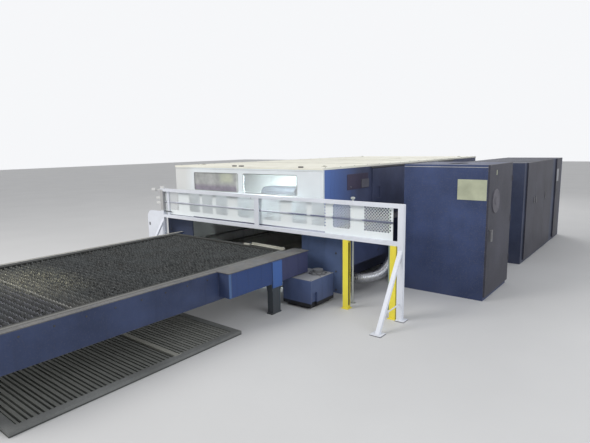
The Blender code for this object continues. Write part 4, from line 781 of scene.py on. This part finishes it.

# The guard fence: white-sprayed square tube, a thin sheet behind it that is punched with fields
# of small staggered diamonds, and a plain end plate. A thin rod runs in front of the sheet.
# Painted shade: the left post and the plate edge beside it are grey between 1.13 and 1.53 m.
fence_white = enamel("fence_white", (0.81, 0.84, 0.91), dust=0.2, grime=0.08,
                     grime_top=0.35, dust_colour=(0.60, 0.59, 0.57), speckle=0.06,
                     cloudy=(0.92, 1.04), zones=(
    ((0.10, 0.10, 0.11), (("Z", -0.1, 0.009, 0.002),)),
    ((0.46, 0.46, 0.46), (("X", -2.0, -1.850, 0.006), ("Z", 1.13, 1.53, 0.02)))))
paint(fence_white, "fence_frame", "end_plate")
FIELDS = ((-1.814, -1.459), (-1.16, -0.871), (-0.809, -0.536), (-0.448, -0.158), (0.076, 0.432),
          (0.621, 1.017), (1.234, 1.528), (1.615, 1.862), (1.991, 2.275), (2.489, 2.886))
FIELD_LOW, FIELD_HIGH = 1.142, 1.477
PANEL = ((-1.895, -0.1647, 1.03), (2.930, -0.1632, 1.52))
TILES_X, TILES_Z, HOLE_SHARE = 218, 22, 0.77


def punched_sheet(name, material):
    """A sheet cut into diamond tiles on a lattice of half pitches. A tile whose middle lies in a
    field has a smaller diamond pushed out of it; the others are whole; the rim takes halves."""
    i, j = np.meshgrid(np.arange(TILES_X + 1), np.arange(TILES_Z + 1), indexing="ij")
    step_x = (PANEL[1][0] - PANEL[0][0]) / TILES_X
    step_z = (PANEL[1][2] - PANEL[0][2]) / TILES_Z
    x, z = PANEL[0][0] + i * step_x, PANEL[0][2] + j * step_z
    count = i.size
    lattice = columns(x.ravel(), z.ravel())
    middle = ((i + j) % 2 == 1) & (i > 0) & (i < TILES_X) & (j > 0) & (j < TILES_Z)
    pierced = np.zeros_like(middle)
    for low, high in FIELDS:
        pierced |= (x > low) & (x < high)
    pierced &= middle & (z > FIELD_LOW) & (z < FIELD_HIGH)
    number = i * (TILES_Z + 1) + j

    def ring(mask):
        at = number[mask]
        return columns(at - TILES_Z - 1, at - 1, at + TILES_Z + 1, at + 1)

    whole = ring(middle & ~pierced)
    holes = ring(pierced)
    spots = lattice[number[pierced]]
    reach = np.array([(-step_x, 0), (0, -step_z), (step_x, 0), (0, step_z)]) * HOLE_SHARE
    rims = (spots[:, None] + reach[None]).reshape(-1, 2)
    flat = np.concatenate([lattice, rims])
    inner = count + np.arange(len(holes) * 4).reshape(-1, 4)
    after = np.roll(np.arange(4), -1)
    webs = columns(holes, holes[:, after], inner[:, after], inner).reshape(-1, 4)
    odd_x, odd_z = np.arange(1, TILES_X, 2), np.arange(1, TILES_Z, 2)
    row = TILES_Z + 1
    base, top = odd_x * row, odd_x * row + TILES_Z
    left, right = odd_z, TILES_X * row + odd_z
    rim = np.concatenate([columns(base - row, base, base + row, base + 1),
                          columns(top + row, top, top - row, top - 1),
                          columns(left + 1, left, left - 1, left + row),
                          columns(right - 1, right, right + 1, right - row)])
    face = np.concatenate([whole, webs, rim])
    total = len(flat)
    edge = np.concatenate([np.arange(TILES_X) * row, TILES_X * row + np.arange(TILES_Z),
                           (TILES_X - np.arange(TILES_X)) * row + TILES_Z,
                           TILES_Z - np.arange(TILES_Z)])
    follow = np.roll(edge, -1)
    border = columns(follow, edge, edge + total, follow + total)
    walls = columns(inner, inner[:, after], inner[:, after] + total, inner + total)
    quads = np.concatenate([face, face[:, ::-1] + total, border, walls.reshape(-1, 4)])
    points = np.concatenate([columns(flat[:, 0], y, flat[:, 1])
                             for y in (PANEL[0][1], PANEL[1][1])])
    used, quads = np.unique(quads, return_inverse=True)
    return piece(name, points[used], quads.reshape(-1, 4), material)


panel_white = enamel("panel_white", (0.89, 0.945, 0.97), dust=0.2, worn=0.1, grime=0.04,
                     dust_colour=(0.55, 0.54, 0.52), speckle=0.03, cloudy=(0.95, 1.03))
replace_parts(punched_sheet("punched_panel", panel_white), "fence_panel")
# Painted light and shade along the rod: pale grey on the left as in glare, dark over the right
# fields, and pale again across the gaps between them.
rod_grey = enamel("rod_grey", (0.54, 0.56, 0.64), dust=0.1, worn=0.1, rough=0.4, zones=(
    ((0.14, 0.16, 0.25), (("X", 1.20, 3.0, 0.05),)),
    *(((0.52, 0.55, 0.60), (("X", *ends),))
      for ends in ((1.535, 1.605), (1.870, 1.980), (2.285, 2.480)))))
slate_grey = enamel("slate_grey", (0.055, 0.058, 0.070), dust=0.2, rough=0.5)


def rod(name, start, end, stops, radius, around, material, up=(0, 0, 1)):
    """A straight round bar: a tube along even places from its start to its end."""
    points, quads = tube(np.linspace(start, end, stops), radius, around, up)
    return piece(name, points, quads, material, smooth=True, weld=True)


rod("fence_rod", (-1.86, -0.1780, 1.295), (2.93, -0.1780, 1.295), 30, 0.012, 14, rod_grey)
rod("short_rod", (-1.904, -0.201, 1.118), (-1.648, -0.201, 1.118), 6, 0.009, 12, slate_grey)
# Along the sill over the lower rail: a dark strip for the gasket and the painted shadow of the gap
# above the rail, paler to the right.
sill_gasket_shadow_grey = enamel("sill_gasket_shadow_grey", (0.105, 0.11, 0.17), dust=0.1, worn=0.1, zones=(
    ((0.50, 0.52, 0.62), (("X", 1.0, 3.0, 0.35),)),))
plates("fence_sill_gasket_shadow", columns((-1.86, -1.05), -0.1700, 1.0553),
       columns((-1.05, 1.85), -0.1650, (1.064, 1.076)), sill_gasket_shadow_grey)
block_white = enamel("block_white", (0.72, 0.73, 0.72), grime=0.1, cloudy=(0.92, 1.04))
POST_SIDE = -1.9353
plates("post_blocks", [(-2.06, -0.224, 1.345), (-2.06, -0.224, 1.250), (-2.20, -0.224, 1.500),
                       (-2.08, -0.205, 1.515)],
       [(POST_SIDE, -0.190, 1.390), (POST_SIDE, -0.190, 1.300), (-2.08, -0.175, 1.549),
        (POST_SIDE, -0.185, 1.535)], block_white, rounding=0.005)
# Painted shade: a dark plate in the gap beside the left stile.
plates("stile_gap_shade", (-1.806, -0.1700, 1.058), (-1.777, -0.1650, 1.492), slate_grey, rounding=0)
plates("left_stile", (-1.777, -0.1900, 1.056), (-1.715, -0.1650, 1.494), fence_white,
       rounding=0.003)
plates("post_cap", (POST_SIDE, -0.2150, 1.5497), (-1.820, -0.1750, 1.592), block_white,
       rounding=0.004)
plates("end_plate_grommet", (-2.418, end_of("end_plate", "y", 0) - 0.0015, 0.795),
       (-2.382, end_of("end_plate", "y", 1) + 0.0015, 0.851), rubber, rounding=0.004)
rod("brace_tie", (3.067, -0.580, 0.212), (3.067, -0.205, 0.232), 6, 0.008, 10, fence_white,
    up=(1, 0, 0))

# The light barrier's columns: yellow powder coat over aluminium, with a black window down the
# groove, and beside them two thin posts, one whitish and one pale green.
barrier_yellow = enamel("barrier_yellow", (0.98, 0.82, 0.085), dust=0.1, worn=0.15, grime=0.15,
                        grime_top=0.2, speckle=0.05, cloudy=(0.90, 1.05))
paint(barrier_yellow, "light_column_left", "light_column_right")
optic_black = pane("optic_black", (0.012, 0.010, 0.010), 0.9)
GROOVE_FLOOR = 0.0335
for name, side in (("left", 1), ("right", -1)):
    x, y = ((end_of("light_column_" + name, axis, 0) + end_of("light_column_" + name, axis, 1)) / 2
            for axis in "xy")
    floor = x + side * GROOVE_FLOOR
    near, far = sorted((floor + side * SEAT, floor + side * 0.004))
    plates(name + "_optics", (near, y - 0.020, 0.05), (far, y + 0.020, 0.96), optic_black,
           rounding=0.001)
pole_white = enamel("pole_white", (0.50, 0.53, 0.50), grime=0.3)
pole_green = enamel("pole_green", (0.33, 0.42, 0.34), grime=0.3)
turned_row("fence_pole", [(0.045, 0.0), (0.045, 0.006), (0.0135, 0.0065), (0.0135, 1.545),
                          (0.030, 1.547), (0.032, 1.570), (0.018, 1.578)], (2.19, 0.05, 0), "z",
           pole_white, around=16)
turned_row("rear_pole", [(0.035, 0.0), (0.035, 0.006), (0.009, 0.0065), (0.009, 1.455),
                         (0.011, 1.458), (0.011, 1.47)], (2.74, 0.11, 0), "z", pole_green,
           around=12)

# The duct: bright ribbed steel tube from the bed to the filter cabinet, with its ends clamped.
duct_metal = steel("duct_metal", (0.40, 0.41, 0.43), 0.24, (30, 30, 30), dust=0.15)


def smooth_path(stops, steps):
    """A Catmull-Rom curve: each stretch is a cubic in t whose four weights come from the stops
    on both sides of it."""
    stops = np.asarray(stops, float)
    ends = np.concatenate([2 * stops[:1] - stops[1:2], stops, 2 * stops[-1:] - stops[-2:-1]])
    t = (np.arange(steps) / steps)[None, :, None]
    a, b, c, d = (ends[k:len(ends) - 3 + k, None] for k in range(4))
    curve = (b * 2 + (c - a) * t + (a * 2 - b * 5 + c * 4 - d) * t ** 2
             + (b * 3 - a - c * 3 + d) * t ** 3) / 2
    return np.concatenate([curve.reshape(-1, 3), stops[-1:]])


DUCT_R, RIB_STEP, RIB_DEEP, DUCT_START = 0.08, 0.026, 0.0065, 1.5503
FILTER_SIDE = end_of("filter_cabinet", "x", 0)
run_x, start_y, end_y, low_z, high_z = FILTER_SIDE - 0.19, 0.50, 1.60, 0.25, 0.58
duct_stops = [(DUCT_START, start_y, low_z), (DUCT_START + 0.04, start_y, low_z),
              (DUCT_START + 0.24, start_y, low_z), (run_x - 0.16, start_y + 0.04, low_z),
              (run_x, start_y + 0.32, low_z + 0.04),
              (run_x, (start_y + end_y) / 2 + 0.16, (low_z + high_z) / 2 + 0.04),
              (run_x + 0.02, end_y - 0.08, high_z - 0.02), (FILTER_SIDE - 0.08, end_y, high_z),
              (FILTER_SIDE - 0.04, end_y, high_z), (FILTER_SIDE - SEAT, end_y, high_z)]
coarse = smooth_path(duct_stops, 24)
reach = np.concatenate([[0], np.cumsum(np.linalg.norm(np.diff(coarse, axis=0), axis=1))])
even = np.linspace(0, reach[-1], int(reach[-1] / RIB_STEP * 4))
centre = np.stack([np.interp(even, reach, coarse[:, k]) for k in range(3)], -1)
rib = np.abs((even / RIB_STEP) % 1 - 0.5) * 2
radius = DUCT_R - 0.0005 - RIB_DEEP * rib ** 2
radius[:6] = radius[-6:] = DUCT_R - 0.0005
duct_points, duct_quads = tube(centre, radius, 32)
duct = piece("ribbed_duct", duct_points, duct_quads, duct_metal, smooth=True, weld=True)
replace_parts(duct, "fume_duct")
clamp_rings = [(DUCT_R + 0.003, 0.0), (DUCT_R + 0.010, 0.004), (DUCT_R + 0.010, 0.028),
               (DUCT_R + 0.003, 0.032)]
for name, spot in (("duct_clamp_bed", (DUCT_START, start_y, low_z)),
                   ("duct_clamp_cabinet", (FILTER_SIDE - SEAT - 0.032, end_y, high_z))):
    turned_row(name, clamp_rings, spot, "x", switch_grey, around=32)

# The cabinets: folded navy sheet with hinges, seams and a pale trim line; the doors on the aisle
# side are painted a darker grey, as painted shade. The filter cabinet has a round drum cover on
# its door and a blank pale plate on its front.
cabinet_navy = enamel("cabinet_navy", (0.047, 0.070, 0.166), dust=0.5, worn=0.3, grime=0.25,
                      speckle=0.8)
paint(cabinet_navy, "filter_cabinet")
FILTER_FACE = end_of("filter_door", "x", 1)
LASER_FACE = end_of("laser_door_d", "x", 1)
rear_navy = enamel("rear_navy", (0.050, 0.063, 0.113), dust=0.5, worn=0.3, grime=0.25, speckle=0.5)
paint(rear_navy, "laser_cabinet")
# Painted shade: the aisle-side doors and hinges in a darker, greyer copy of the cabinet navy.
aisle_shade_grey = enamel("aisle_shade_grey", (0.048, 0.049, 0.070), dust=0.5, worn=0.3, grime=0.25,
                    speckle=0.9)
paint(aisle_shade_grey, "filter_door", "laser_door_a", "laser_door_b", "laser_door_c", "laser_door_d")
paint(enamel("inner_grey", (0.36, 0.37, 0.37)), "filter_unit", "laser_source", "chiller")
handle_steel = steel("handle_steel", (0.28, 0.28, 0.29), 0.3, (60, 60, 60), dust=0.05)
paint(handle_steel, "filter_handle")
trim_pale = enamel("trim_pale", (0.42, 0.43, 0.46), grime=0.1)
plates("cabinet_trim", (FILTER_SIDE + 0.0002, 1.2125, 1.962), (3.7050, 1.2150, 1.972),
       trim_pale, rounding=0.0008)
plate_green = enamel("plate_green", (0.58, 0.61, 0.44), dust=0.2, grime=0.1, speckle=0.08)
plates("blank_plate", (3.277, 1.2118, 1.49), (3.698, 1.2150, 1.79), plate_green)
drum_grey = enamel("drum_grey", (0.13, 0.125, 0.15), dust=0.4, worn=0.4, speckle=0.5)
turned_row("drum_cover", [(0.180, 0), (0.180, 0.0077), (0.172, 0.0127), (0.150, 0.0127),
                          (0.146, 0.0097), (0.060, 0.0097), (0.056, 0.0157), (0.020, 0.0167)],
           (FILTER_FACE, 1.5475, 1.46), "x", drum_grey, "filter_door", around=48)
plates("door_mark", (FILTER_FACE, 1.535, 1.845), (FILTER_FACE + 0.0017, 1.565, 1.915),
       plate_green, "filter_door")
hinge_spots = columns(FILTER_FACE, 2.4300, (0.45, 1.10, 1.75))
turned_row("filter_hinges", [(0.010, -0.05), (0.012, -0.045), (0.012, 0.045), (0.010, 0.05)],
           hinge_spots, "z", aisle_shade_grey, around=12)
plates("laser_plate", (LASER_FACE, 6.92, 1.395), (LASER_FACE + 0.0022, 7.14, 1.684), trim_pale,
       "laser_door_d")
for name, y in (("a", 4.62), ("b", 4.80), ("c", 5.70), ("d", 6.98)):
    plates("laser_latch_" + name, (LASER_FACE, y - 0.012, 1.10),
           (LASER_FACE + 0.0117, y + 0.012, 1.24), handle_steel, "laser_door_" + name,
           rounding=0.003)

# The cabinets' backs and tops: screwed-on panels, rows of air fins, folded seams and the filter's
# dark outlet, in the cabinets' own paints.
plinth_dark = enamel("plinth_dark", (0.020, 0.022, 0.030), worn=0.4, grime=0.2)
back_y = np.array([4.20, 5.30, 6.40])
plates("laser_back_panels", columns(2.3245, back_y - 0.18, 0.20),
       columns(2.3300, back_y + 0.82, 1.78), rear_navy, rounding=0.002)
slot_z = np.linspace(0.36, 0.66, 14)
slots = np.array([(2.3180, y, z) for y in back_y for z in slot_z])
plates("laser_back_fins", slots, slots + (0.0065, 0.62, 0.011), seam_navy, rounding=0.002)
seam_y = np.array([4.72, 5.60, 6.62])
plates("laser_top_seams", columns(2.34, seam_y - 0.003, 1.930),
       columns(3.60, seam_y + 0.003, 1.9325), seam_navy, rounding=0)
plates("filter_back_panel", (2.56, 2.4300, 0.18), (3.58, 2.4345, 1.86), cabinet_navy,
       rounding=0.002)
turned_row("filter_outlet", [(0.17, -0.0005), (0.17, -0.0002), (0.15, 0)],
           (3.07, 1.82, end_of("filter_cabinet", "z", 1)), "z", plinth_dark, around=40)
